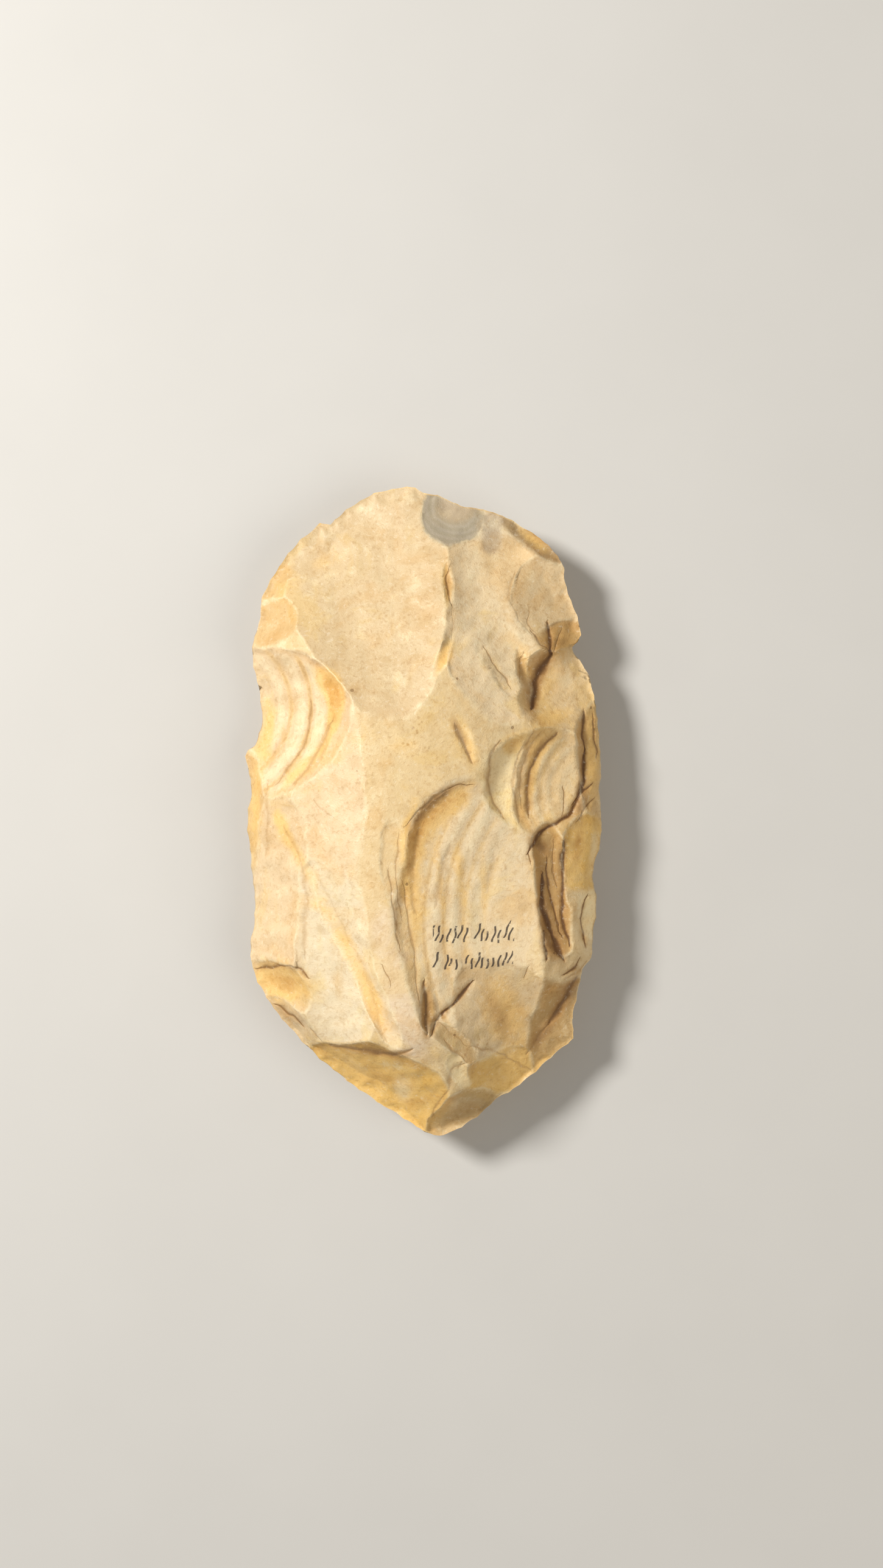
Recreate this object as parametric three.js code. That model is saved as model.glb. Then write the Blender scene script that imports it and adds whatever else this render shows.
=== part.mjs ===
// A knapped flint hand axe, lying on its flatter face.
//
// The stone is one closed solid between two struck faces that meet in a sharp edge all the way round.
// Each face starts as a smooth blank swelling from the edge to a crest line. Flakes are then struck off
// one after another, in the order they were knapped, and each leaves a scar. A scar's floor hangs from
// the surface that its rim crosses, so it follows whatever was struck before it. Where a scar cuts an
// older one, the two meet in a ridge, as they do on the stone.
//
// Millimetres, +Z up, +Y towards the broad end, the point towards -Y. Angles are in degrees.

import * as THREE from "three";

// Driving dimensions
const UPPER_SWELL = 15.6; // blank's rise above the edge plane on the upper face
const LOWER_SWELL = 12.2; // and below it on the lower face
const SWELL_POWER = 2.2; // how full the blank is: higher is flatter on top and blunter at the edge
const END_FALL = 0.2; // share of the swell lost by the two ends of the crest line
const CREST_MIDDLE = 4; // y of the highest point of the crest line
const CREST = { x1: -6, y1: 20, x2: -4, y2: -36 }; // where the blank is highest
const THINNEST_EDGE = 12; // least slope of either face at the edge
const BLUNTEST_EDGE = 52; // steepest slope of either face at the edge
const RESTING_DEPTH = 11; // depth of the flat resting spot below the edge plane
const RESTING_SPOT = { x: -1, y: 1, long: 38, wide: 23, corners: 28 };
const RESTING_SKIRT = 20; // slope that joins the resting spot to the scars around it
const UPPER_GRID = 1.58; // spacing of the surface points on the upper face
const LOWER_GRID = 2.7; // and on the plainer lower face
const CLEAVAGE = 66; // usual slope of the wall round a scar
const RIM_SAMPLES = 64; // places round a rim where the older surface is felt
const CREST_LOOP = 1.4; // half width of the strip of surface along the crest line
const ROW_HEIGHT = 0.87; // height of an even triangle on a side of 1
const SLIDE_LIMIT = 0.6; // furthest that a surface point slides to a crease, in spacings
const SLIVER_LIMIT = 0.12; // least area of a triangle beside a point that slid
const COMPASS_POINTS = 16; // directions in which a crease is looked for
const HALVINGS = 9; // steps that close in on a crease

// The plan outline, anticlockwise from the point. Sharp corners are teeth and notches of the edge.
const OUTLINE = [
  [3, -60], [9.5, -56.8], [13.6, -53.2], [18.5, -50], [24, -45.3], [27.7, -42], [27.6, -38.5],
  [28.8, -33], [29.4, -29.3], [31.1, -27], [31.4, -23], [32.2, -17.5], [31.5, -12], [32.9, -5.5],
  [33, -1], [32.7, 4], [33, 9.5], [32.2, 17.5], [31.2, 23.5], [29, 28], [27.6, 30.2], [29.3, 32.5],
  [28, 37.5], [26.4, 41.5], [25.6, 46], [22, 50.2], [17.5, 53.2], [12.5, 55.4], [7, 56.5],
  [4.4, 57.8], [0, 59], [-3, 60], [-9.2, 58.8], [-14.5, 55.7], [-17.3, 53], [-19.1, 53.4],
  [-25, 47.6], [-29.4, 40.6], [-30.3, 35.5], [-31.8, 29.5], [-30.9, 23.5], [-30.1, 17],
  [-31.5, 12.3], [-33.3, 10.2], [-32.1, 4.5], [-32.9, -1.5], [-32.2, -8.5], [-31.3, -18],
  [-32, -27.5], [-28.8, -34.8], [-22, -43], [-13, -50.9], [-4, -56.6],
];

// Flakes off the upper face, in the order struck. x, y is the middle of the scar, run the direction of
// its length, hollow its depth below the rim. taper widens its far end, square fills its corners out,
// bend curves it. step lowers the side that faces the direction face, over spread either way.
const UPPER_FLAKES = [
  { name: "broad end", x: -9, y: 40, run: 102, long: 48, wide: 32, hollow: 0.9, taper: 0.3 },
  { name: "right end", x: 14, y: 38, run: 92, long: 44, wide: 20, hollow: 0.7, square: 2.6 },
  { name: "left panel", x: -17, y: 4, run: 92, long: 38, wide: 13, hollow: 0.3, square: 3 },
  { name: "left flank", x: -28, y: -14, run: 89, long: 34, wide: 14, hollow: 0.9, square: 3 },
  { name: "left slab", x: -16, y: -27, run: 97, long: 36, wide: 13, hollow: 0.3, square: 3.5 },
  { name: "long diagonal", x: -11.8, y: -26, run: -66, long: 37, wide: 5.4, hollow: 0.6, square: 1.9 },
  { name: "upper left nick", x: -28.5, y: 42, run: 60, long: 10, wide: 8, hollow: 0.5 },
  { name: "lower left nick", x: -27.5, y: 34.5, run: 50, long: 11, wide: 9, hollow: 0.5 },
  { name: "left shell", x: -26.5, y: 17, run: 9, long: 26, wide: 26, hollow: 2.1, square: 2.4,
    taper: -0.3, step: 1.2, face: 5 },
  { name: "left edge strip", x: -32.5, y: 0, run: 90, long: 22, wide: 6, hollow: 0.4, square: 3 },
  { name: "outer crescent", x: -4.8, y: -9, run: -82, long: 16, wide: 5.5, hollow: 0.3, step: 0.35,
    face: 160 },
  { name: "great crescent", x: 10.5, y: -19.6, run: -90, long: 49, wide: 26, hollow: 1.3, square: 2.4,
    bend: 1.5, step: 1.35, face: 160, spread: 75, wall: 44 },
  { name: "wall pocket", x: 1.6, y: -36, run: -82, long: 9, wide: 3.6, hollow: 0.4, step: 0.8,
    face: 175, spread: 60 },
  { name: "middle groove", x: 7.6, y: 11.8, run: -68, long: 9, wide: 2.2, hollow: 0.3, square: 1.5,
    wall: 45 },
  { name: "upper groove", x: 3.9, y: 28, run: 68, long: 9, wide: 2.4, hollow: 0.2, square: 1.5,
    wall: 45 },
  { name: "fan", x: 15, y: 28, run: -55, long: 15, wide: 9, hollow: 0.7, step: 0.4, face: -125,
    spread: 60 },
  { name: "upper right shell", x: 23.5, y: 39.5, run: 90, long: 16, wide: 15, hollow: 0.9, step: 0.25,
    face: 190 },
  { name: "end retouch", x: 21, y: 50.5, run: -38, long: 15, wide: 5.4, hollow: 0.4, square: 2.6 },
  { name: "notch", x: 26, y: 32, run: 10, long: 10, wide: 6, hollow: 0.8, step: 0.35, face: 100,
    wall: 52 },
  { name: "deep groove", x: 27, y: 22, run: 100, long: 16, wide: 15, hollow: 1.5, step: 2.4, face: 180,
    spread: 60, wall: 56 },
  { name: "lens", x: 18.4, y: 25.5, run: 100, long: 8, wide: 2.7, hollow: 0.5, square: 1.7, wall: 54 },
  { name: "outer ripple shell", x: 16.6, y: 5.6, run: 85, long: 17.5, wide: 7.2, hollow: 0.9,
    square: 2.3, bend: -3.5, step: 0.35, face: 190, wall: 34 },
  { name: "inner ripple shell", x: 23.6, y: 5, run: 83, long: 20, wide: 13, hollow: 1.2, square: 2.3,
    step: 1, face: 180, spread: 80, wall: 50 },
  { name: "right edge band", x: 32, y: 9, run: 92, long: 22, wide: 6.5, hollow: 0.3, step: 0.6,
    face: 180 },
  { name: "fissured groove", x: 23.6, y: -15, run: -84, long: 25, wide: 6, hollow: 0.9, square: 2.6,
    step: 0.7, face: 150 },
  { name: "right bite", x: 30, y: -8, run: 90, long: 15, wide: 9, hollow: 0.5, step: 0.3, face: 130 },
  { name: "small right bite", x: 31.5, y: -19, run: 90, long: 9, wide: 6, hollow: 0.6 },
  { name: "lower right shell", x: 15.5, y: -38, run: -62, long: 25, wide: 18, hollow: 0.9, square: 2.4 },
  { name: "right shoulder", x: 26, y: -40, run: 68, long: 20, wide: 11, hollow: 1, step: 0.6,
    face: 150, wall: 44 },
  { name: "left shoulder", x: -27.2, y: -32.4, run: -13, long: 14, wide: 8.8, hollow: 0.9, square: 2.6,
    step: 0.8, face: 70 },
  { name: "left shoulder nick", x: -25.3, y: -39, run: -45, long: 11, wide: 6.4, hollow: 0.5,
    step: 0.3, face: 45 },
  { name: "point left", x: -9, y: -51, run: 167, long: 27, wide: 16, hollow: 0.7, square: 3, step: 1.3,
    face: 100, spread: 55 },
  { name: "point strip", x: 5.8, y: -41.5, run: -45, long: 10, wide: 4, hollow: 0.2, square: 2.8,
    step: 0.3, face: 45 },
  { name: "point right", x: 13.5, y: -48, run: 28, long: 15, wide: 9, hollow: 0.5, step: 0.1, face: 110 },
  { name: "point hollow", x: 7, y: -55.5, run: 38, long: 14, wide: 8, hollow: 1.1, step: 0.6, face: 160 },
  { name: "point facet", x: 6.4, y: -47, run: -70, long: 6, wide: 3.4, hollow: 0.2, square: 2.8,
    step: 0.2, face: 100 },
  { name: "end bulb", x: 5.6, y: 55.3, run: 80, long: 12.4, wide: 11, hollow: 0.7, step: 0.3,
    face: -100, spread: 80, wall: 50 },
  { name: "end tongue", x: 12.6, y: 51.5, run: 82, long: 9, wide: 4, hollow: 0.3, wall: 50 },
  { name: "spindle pit", x: 4.3, y: 41, run: 92, long: 8.4, wide: 2.4, hollow: 0.6, square: 1.4,
    wall: 54 },
];

// Flakes off the lower face, each struck in from the edge: the compass direction it comes from, how far
// it reaches in, its width and its hollow. The long ones come first, then a round of edge retouch.
const LOWER_FLAKES = [
  { from: 84, reach: 34, wide: 26, hollow: 1.1 },
  { from: 262, reach: 30, wide: 20, hollow: 0.9 },
  { from: 128, reach: 27, wide: 22, hollow: 1 },
  { from: 40, reach: 24, wide: 22, hollow: 1 },
  { from: 4, reach: 21, wide: 25, hollow: 1.2 },
  { from: 172, reach: 22, wide: 26, hollow: 1.1 },
  { from: 330, reach: 22, wide: 23, hollow: 1 },
  { from: 214, reach: 23, wide: 24, hollow: 1.1 },
  { from: 300, reach: 20, wide: 18, hollow: 0.9 },
  { from: 236, reach: 18, wide: 15, hollow: 0.8 },
];
const RETOUCH = { count: 17, reach: 9, wide: 13, hollow: 0.5, first: 11, swing: 0.3 };

const RADIANS = Math.PI / 180;

/** The closed smooth curve through the stations, with a point on each station. */
function traceOutline(stations, spacing) {
  const count = stations.length;
  const points = [];
  for (let i = 0; i < count; i++) {
    const [before, from, to, after] = [-1, 0, 1, 2].map((k) => stations[(i + k + count) % count]);
    const steps = Math.max(1, Math.round(Math.hypot(to[0] - from[0], to[1] - from[1]) / spacing));
    for (let step = 0; step < steps; step++) {
      const t = step / steps;
      points.push([0, 1].map((axis) => catmullRom(before[axis], from[axis], to[axis], after[axis], t)));
    }
  }
  return points;
}

/** One coordinate of the Catmull-Rom curve between b and c. */
function catmullRom(a, b, c, d, t) {
  const straight = (c - a) * t;
  const curved = (2 * a - 5 * b + 4 * c - d) * t * t;
  const twisted = (3 * b - a - 3 * c + d) * t * t * t;
  return b + (straight + curved + twisted) / 2;
}

/** Distance from the edge in plan, positive inside the outline. */
function depthInside(ring, x, y) {
  let nearest = Infinity;
  let side = 1;
  for (let i = 0; i < ring.length; i++) {
    const [ax, ay] = ring[i];
    const [bx, by] = ring[(i + 1) % ring.length];
    const dx = bx - ax;
    const dy = by - ay;
    const along = ((x - ax) * dx + (y - ay) * dy) / (dx * dx + dy * dy);
    const t = Math.min(1, Math.max(0, along));
    const distance = Math.hypot(x - ax - t * dx, y - ay - t * dy);
    if (distance < nearest) {
      nearest = distance;
      side = Math.sign(dx * (y - ay) - dy * (x - ax)) || 1;
    }
  }
  return nearest * side;
}

/** The point of the crest line nearest to x, y. */
function nearestOnCrest(x, y) {
  const dx = CREST.x2 - CREST.x1;
  const dy = CREST.y2 - CREST.y1;
  const along = ((x - CREST.x1) * dx + (y - CREST.y1) * dy) / (dx * dx + dy * dy);
  const t = Math.min(1, Math.max(0, along));
  return [CREST.x1 + t * dx, CREST.y1 + t * dy];
}

/** Size of the rounded rectangle through a place: 1 on a scar's rim, more beyond it. */
function cornerRadius(u, v, square) {
  return (Math.abs(u) ** square + Math.abs(v) ** square) ** (1 / square);
}

/** Terms of the smooth floor: level, two tilts, two twists and two finer waves. */
function floorTerms(u, v) {
  return [1, u, v, u * u - v * v, u * v, u * u * u - 3 * u * v * v, 3 * u * u * v - v * v * v];
}

/** The weights that bring the sum of the terms closest to the given heights. */
function fitFloor(rows, heights) {
  const size = rows[0].length;
  const matrix = Array.from({ length: size }, (_, i) => {
    const line = Array.from({ length: size }, (_, j) => rows.reduce((sum, row) => sum + row[i] * row[j], 0));
    line.push(rows.reduce((sum, row, k) => sum + row[i] * heights[k], 0));
    return line;
  });
  for (let i = 0; i < size; i++) {
    for (let j = 0; j < size; j++) {
      if (j === i) continue;
      const factor = matrix[j][i] / matrix[i][i];
      for (let k = i; k <= size; k++) matrix[j][k] -= factor * matrix[i][k];
    }
  }
  return matrix.map((line, i) => line[size] / line[i]);
}

/** One scar: its rim in plan, and the floor that hangs from the surface it was struck off. */
class Scar {
  constructor({ x, y, run, long, wide, hollow, taper = 0, square = 2.2, bend = 0, step = 0, face = 0,
    spread = 70, wall = CLEAVAGE }) {
    Object.assign(this, { x, y, long, wide, hollow, taper, square, bend, step, face, spread });
    this.cos = Math.cos(run * RADIANS);
    this.sin = Math.sin(run * RADIANS);
    this.wallRise = Math.tan(wall * RADIANS);
  }

  /** Half the width at a place along the length, from -1 to 1. */
  halfWidth(u) {
    return (this.wide / 2) * Math.min(3, Math.max(0.25, 1 + this.taper * u));
  }

  /** Sideways shift of the middle line at a place along the length. */
  curve(u) {
    return this.bend * (Math.min(u * u, 2.25) - 0.5);
  }

  /** Unit coordinates of a place: 1 on the rim in every direction. */
  unitPlace(x, y) {
    const dx = x - this.x;
    const dy = y - this.y;
    const u = (dx * this.cos + dy * this.sin) / (this.long / 2);
    const across = dy * this.cos - dx * this.sin - this.curve(u);
    return [u, across / this.halfWidth(u)];
  }

  /** A place on the rim: its unit coordinates and its place on the stone. */
  rimPlace(angle) {
    const reach = 1 / cornerRadius(Math.cos(angle), Math.sin(angle), this.square);
    const u = Math.cos(angle) * reach;
    const v = Math.sin(angle) * reach;
    const along = (u * this.long) / 2;
    const across = v * this.halfWidth(u) + this.curve(u);
    const x = this.x + along * this.cos - across * this.sin;
    const y = this.y + along * this.sin + across * this.cos;
    return { u, v, x, y };
  }

  /** Hangs the floor from the older surface, lowered on the side where the flake broke off in a step. */
  hangFrom(olderSurface) {
    const rows = [];
    const heights = [];
    for (let i = 0; i < RIM_SAMPLES; i++) {
      const rim = this.rimPlace(((i + 0.5) / RIM_SAMPLES) * 2 * Math.PI);
      const facing = Math.atan2(rim.y - this.y, rim.x - this.x) / RADIANS - this.face;
      const away = Math.abs(facing - 360 * Math.round(facing / 360));
      const share = Math.min(1, Math.max(0, 1.5 - away / this.spread));
      rows.push(floorTerms(rim.u, rim.v));
      heights.push(olderSurface(rim.x, rim.y) - this.step * share);
    }
    this.weights = fitFloor(rows, heights);
  }

  /** Height of the scar's own surface, floor within the rim and rising wall beyond it. */
  surface(x, y) {
    const [u, v] = this.unitPlace(x, y);
    const radius = cornerRadius(u, v, this.square);
    const inward = 1 / Math.max(radius, 1);
    const terms = floorTerms(u * inward, v * inward);
    const floor = terms.reduce((sum, term, i) => sum + term * this.weights[i], 0);
    const sag = this.hollow * (1 - (radius * inward) ** 2);
    const beyond = Math.max(radius - 1, 0) * Math.min(this.long / 2, this.halfWidth(u));
    return floor - sag + this.wallRise * beyond;
  }
}

/** One side of the stone: a blank and the scars struck off it, as heights away from the edge plane. */
class StruckFace {
  constructor(ring, swell) {
    this.ring = ring;
    this.swell = swell;
    this.scars = [];
  }

  /** The blank's height, falling from the crest line to nothing at the edge and on below it outside. */
  blank(x, y) {
    const [crestX, crestY] = nearestOnCrest(x, y);
    const fromCrest = Math.hypot(x - crestX, y - crestY);
    const reach = Math.max(fromCrest + depthInside(this.ring, x, y), 0.3 * fromCrest + 1e-6);
    const ends = 1 - END_FALL * ((y - CREST_MIDDLE) / 60) ** 2;
    return this.swell * (1 - (fromCrest / reach) ** SWELL_POWER) * ends;
  }

  strike(scar) {
    scar.hangFrom((x, y) => this.sample(x, y).height);
    this.scars.push(scar);
  }

  /** Height at a place, and which surface shows there: 0 for the blank, else one more than the scar's. */
  sample(x, y) {
    let height = this.blank(x, y);
    let owner = 0;
    this.scars.forEach((scar, i) => {
      const cut = scar.surface(x, y);
      if (cut < height) {
        height = cut;
        owner = i + 1;
      }
    });
    return { height, owner };
  }
}

/** The scar that a lower flake leaves: struck in from the edge towards the middle of the stone. */
function lowerScar(ring, { from, reach, wide, hollow }) {
  const heading = [Math.cos(from * RADIANS), Math.sin(from * RADIANS)];
  let edge = 0;
  while (depthInside(ring, heading[0] * edge, heading[1] * edge) > 0) edge += 0.25;
  const middle = edge - reach / 2 + 1;
  return new Scar({ x: heading[0] * middle, y: heading[1] * middle, run: from, long: reach, wide, hollow });
}

/** Edge retouch of the lower face: a round of short flakes whose reach and place swing a little. */
function retouchFlakes() {
  return Array.from({ length: RETOUCH.count }, (_, i) => {
    const turn = Math.sin(i * 2.4);
    return {
      from: RETOUCH.first + (i + RETOUCH.swing * turn) * (360 / RETOUCH.count),
      reach: RETOUCH.reach * (1 + RETOUCH.swing * Math.cos(i * 1.7)),
      wide: RETOUCH.wide * (1 + RETOUCH.swing * turn),
      hollow: RETOUCH.hollow,
    };
  });
}

/** How far a place lies outside the resting spot, nearly. */
function outsideResting(x, y) {
  const u = (x - RESTING_SPOT.x) / (RESTING_SPOT.wide / 2);
  const v = (y - RESTING_SPOT.y) / (RESTING_SPOT.long / 2);
  const radius = Math.hypot(u, v);
  return radius > 1 ? Math.hypot(x - RESTING_SPOT.x, y - RESTING_SPOT.y) * (1 - 1 / radius) : 0;
}

/** The whole stone as two heights over the plan: its upper and lower surfaces. */
class Stone {
  constructor(ring) {
    this.ring = ring;
    this.upper = new StruckFace(ring, UPPER_SWELL);
    this.lower = new StruckFace(ring, LOWER_SWELL);
    UPPER_FLAKES.forEach((flake) => this.upper.strike(new Scar(flake)));
    [...LOWER_FLAKES, ...retouchFlakes()].forEach((flake) => this.lower.strike(lowerScar(ring, flake)));
  }

  /** Depth of the lower face below the edge plane, planed flat at the resting spot. */
  lowerDepth(x, y) {
    const struck = Math.min(this.lower.sample(x, y).height, RESTING_DEPTH);
    return Math.max(struck, RESTING_DEPTH - outsideResting(x, y) * Math.tan(RESTING_SKIRT * RADIANS));
  }

  /** Heights of both surfaces, drawn together so that they meet in a sharp edge on the outline. */
  heights(x, y) {
    const top = this.upper.sample(x, y).height;
    const bottom = -this.lowerDepth(x, y);
    const inside = Math.max(0, depthInside(this.ring, x, y));
    const least = inside * Math.tan(THINNEST_EDGE * RADIANS);
    const most = inside * Math.tan(BLUNTEST_EDGE * RADIANS);
    const half = Math.min(most, Math.max(least, (top - bottom) / 2));
    const middle = (top + bottom) / 2;
    return { top: middle + half, bottom: middle - half };
  }
}

/** A place on the closed ring, at a share of its length from 0 to 1. */
function placeOnRing(ring, share) {
  const at = (share - Math.floor(share)) * ring.length;
  const i = Math.floor(at) % ring.length;
  const t = at - Math.floor(at);
  const next = ring[(i + 1) % ring.length];
  return [ring[i][0] + (next[0] - ring[i][0]) * t, ring[i][1] + (next[1] - ring[i][1]) * t];
}

/** Length of a closed ring of places. */
function ringLength(ring) {
  return ring.reduce((sum, [x, y], i) => {
    const [nextX, nextY] = ring[(i + 1) % ring.length];
    return sum + Math.hypot(nextX - x, nextY - y);
  }, 0);
}

/**
 * A net of triangles over the plan: rings that shrink from the outline to an inner shape, each with as
 * many points as the spacing asks for, zipped to the next, and the inner shape filled with rungs.
 */
class Net {
  constructor(outline, innerPlace, spacing, innerCount) {
    this.places = outline.map(([x, y]) => [x, y]);
    this.triangles = [];
    const shrink = ([x, y], share) => {
      const [innerX, innerY] = innerPlace(x, y);
      return [x + (innerX - x) * share, y + (innerY - y) * share];
    };
    const depths = outline.map(([x, y]) => {
      const [innerX, innerY] = innerPlace(x, y);
      return Math.hypot(x - innerX, y - innerY);
    });
    const meanDepth = depths.reduce((sum, depth) => sum + depth, 0) / depths.length;
    const rings = Math.round(meanDepth / (spacing * ROW_HEIGHT));
    let outer = { start: 0, points: outline.map((_, i) => i) };
    for (let k = 1; k <= rings; k++) {
      const length = ringLength(outline.map((place) => shrink(place, k / rings)));
      const count = k === rings ? innerCount : Math.max(innerCount, Math.round(length / spacing));
      const start = k % 2 ? 0.5 / count : 0;
      const points = Array.from({ length: count }, (_, i) => {
        this.places.push(shrink(placeOnRing(outline, start + i / count), k / rings));
        return this.places.length - 1;
      });
      this.zip(outer, { start, points });
      outer = { start, points };
    }
    this.fill(outer.points);
    this.fixed = new Set([...outline.keys(), ...outer.points]);
  }

  /** Triangles between two rings, stepping along whichever lags behind. */
  zip(outer, inner) {
    const outerCount = outer.points.length;
    const innerCount = inner.points.length;
    let i = 0;
    let j = 0;
    while (i < outerCount || j < innerCount) {
      const outerNext = outer.start + (i + 1) / outerCount;
      const innerNext = inner.start + (j + 1) / innerCount;
      const a = outer.points[i % outerCount];
      const b = inner.points[j % innerCount];
      if (j >= innerCount || (i < outerCount && outerNext <= innerNext)) {
        i++;
        this.triangles.push([a, outer.points[i % outerCount], b]);
      } else {
        j++;
        this.triangles.push([a, inner.points[j % innerCount], b]);
      }
    }
  }

  /** Rungs across the innermost ring, from its far end down to its near end. */
  fill(points) {
    const count = points.length;
    const height = (i) => this.places[points[(i + count) % count]][1];
    const top = [...points.keys()].reduce((best, i) => (height(i) > height(best) ? i : best), 0);
    let left = 1;
    let right = 1;
    const leftPoint = () => points[(top + left) % count];
    const rightPoint = () => points[(top - right + count) % count];
    this.triangles.push([points[top], leftPoint(), rightPoint()]);
    while (left + right < count) {
      const rung = [leftPoint(), rightPoint()];
      const goLeft = height(top + left + 1) > height(top - right - 1);
      if (goLeft) left++;
      else right++;
      const next = goLeft ? leftPoint() : rightPoint();
      if (left + right < count) this.triangles.push([rung[0], next, rung[1]]);
    }
  }

  /** Area of a triangle in plan, positive when it runs anticlockwise. */
  area([a, b, c]) {
    const [ax, ay] = this.places[a];
    const [bx, by] = this.places[b];
    const [cx, cy] = this.places[c];
    return ((bx - ax) * (cy - ay) - (cx - ax) * (by - ay)) / 2;
  }

  /** Slides points onto the creases where one scar meets the next, those that are nearest first. */
  slideToCreases(ownerAt) {
    const around = this.places.map(() => []);
    this.triangles.forEach((triangle) => triangle.forEach((i) => around[i].push(triangle)));
    const owners = this.places.map(([x, y]) => ownerAt(x, y));
    const onCrease = new Set();
    const isAcross = (i) => around[i].flat().some((j) => !onCrease.has(j) && owners[j] !== owners[i]);
    const moves = [];
    this.places.forEach((place, i) => {
      if (this.fixed.has(i) || !isAcross(i)) return;
      const crossings = crossingsAround(place, SLIDE_LIMIT * UPPER_GRID, ownerAt);
      moves.push(...crossings.map((move) => ({ i, ...move })));
    });
    moves.sort((a, b) => a.distance - b.distance);
    for (const { i, to } of moves) {
      if (onCrease.has(i) || !isAcross(i)) continue;
      const from = this.places[i];
      this.places[i] = to;
      if (around[i].every((triangle) => this.area(triangle) > SLIVER_LIMIT)) onCrease.add(i);
      else this.places[i] = from;
    }
  }
}

/** Where the surface changes hands within reach of a place, in each direction. */
function crossingsAround([x, y], reach, ownerAt) {
  const owner = ownerAt(x, y);
  const found = [];
  for (let k = 0; k < COMPASS_POINTS; k++) {
    const turn = (k / COMPASS_POINTS) * 2 * Math.PI;
    const along = (distance) => [x + distance * Math.cos(turn), y + distance * Math.sin(turn)];
    if (ownerAt(...along(reach)) === owner && ownerAt(...along(reach / 2)) === owner) continue;
    let low = 0;
    let high = ownerAt(...along(reach / 2)) === owner ? reach : reach / 2;
    for (let halving = 0; halving < HALVINGS; halving++) {
      const middle = (low + high) / 2;
      if (ownerAt(...along(middle)) === owner) low = middle;
      else high = middle;
    }
    found.push({ distance: high, to: along(high) });
  }
  return found;
}

/** Inner shape of the upper net: a slim loop round the crest line. */
function crestLoop(x, y) {
  const [crestX, crestY] = nearestOnCrest(x, y);
  const away = Math.hypot(x - crestX, y - crestY);
  return [crestX + ((x - crestX) / away) * CREST_LOOP, crestY + ((y - crestY) / away) * CREST_LOOP];
}

/** Inner shape of the lower net: the rim of the resting spot. */
function restingRim(x, y) {
  const turn = Math.atan2((y - RESTING_SPOT.y) / RESTING_SPOT.long, (x - RESTING_SPOT.x) / RESTING_SPOT.wide);
  return [
    RESTING_SPOT.x + (RESTING_SPOT.wide / 2) * Math.cos(turn),
    RESTING_SPOT.y + (RESTING_SPOT.long / 2) * Math.sin(turn),
  ];
}

/** One closed shell: both nets share the outline's points, and the lower one faces down. */
function stoneGeometry() {
  const outline = traceOutline(OUTLINE, UPPER_GRID);
  const stone = new Stone(outline);
  const crestLength = 2 * Math.hypot(CREST.x2 - CREST.x1, CREST.y2 - CREST.y1) + 2 * Math.PI * CREST_LOOP;
  const upper = new Net(outline, crestLoop, UPPER_GRID, Math.round(crestLength / UPPER_GRID));
  upper.slideToCreases((x, y) => stone.upper.sample(x, y).owner);
  const lower = new Net(outline, restingRim, LOWER_GRID, RESTING_SPOT.corners);
  lower.slideToCreases((x, y) => stone.lower.sample(x, y).owner);

  const edgeCount = outline.length;
  const points = upper.places.map(([x, y]) => [x, y, stone.heights(x, y).top]);
  lower.places.slice(edgeCount).forEach(([x, y]) => points.push([x, y, stone.heights(x, y).bottom]));
  const lowerIndex = (i) => (i < edgeCount ? i : i + upper.places.length - edgeCount);
  const faces = [...upper.triangles, ...lower.triangles.map(([a, b, c]) => [a, c, b].map(lowerIndex))];

  const geometry = new THREE.BufferGeometry();
  geometry.setAttribute("position", new THREE.Float32BufferAttribute(points.flat(), 3));
  geometry.setIndex(faces.flat());
  geometry.computeBoundingBox();
  const { min, max } = geometry.boundingBox;
  geometry.translate(-(min.x + max.x) / 2, -(min.y + max.y) / 2, -min.z);
  geometry.computeVertexNormals();
  return geometry;
}

/** The finished stone: cream patina, dull and slightly waxy. */
function makeHandAxe() {
  const flint = new THREE.MeshStandardMaterial({
    name: "patinated flint",
    color: 0xd8bd8c,
    roughness: 0.58,
    metalness: 0,
    flatShading: true,
  });
  const mesh = new THREE.Mesh(stoneGeometry(), flint);
  mesh.name = "hand_axe";
  return mesh;
}

const handAxe = new THREE.Group();
handAxe.add(makeHandAxe());

export default handAxe;
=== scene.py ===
"""Dresses the flint hand axe: its fine struck surface, its patina, and the light it lies in.

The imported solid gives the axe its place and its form. Here the same flakes are struck again on a much
finer net, with the ripples, cracks and edge wear that the solid leaves out, and the surface is coloured
by a patina that knows which scar each spot belongs to. The stone's own shape is worked in millimetres
about its edge plane and is turned into metres when it is written to the mesh.
"""

import logging
import math
from dataclasses import dataclass
from enum import Enum
from typing import Callable, Sequence

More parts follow.
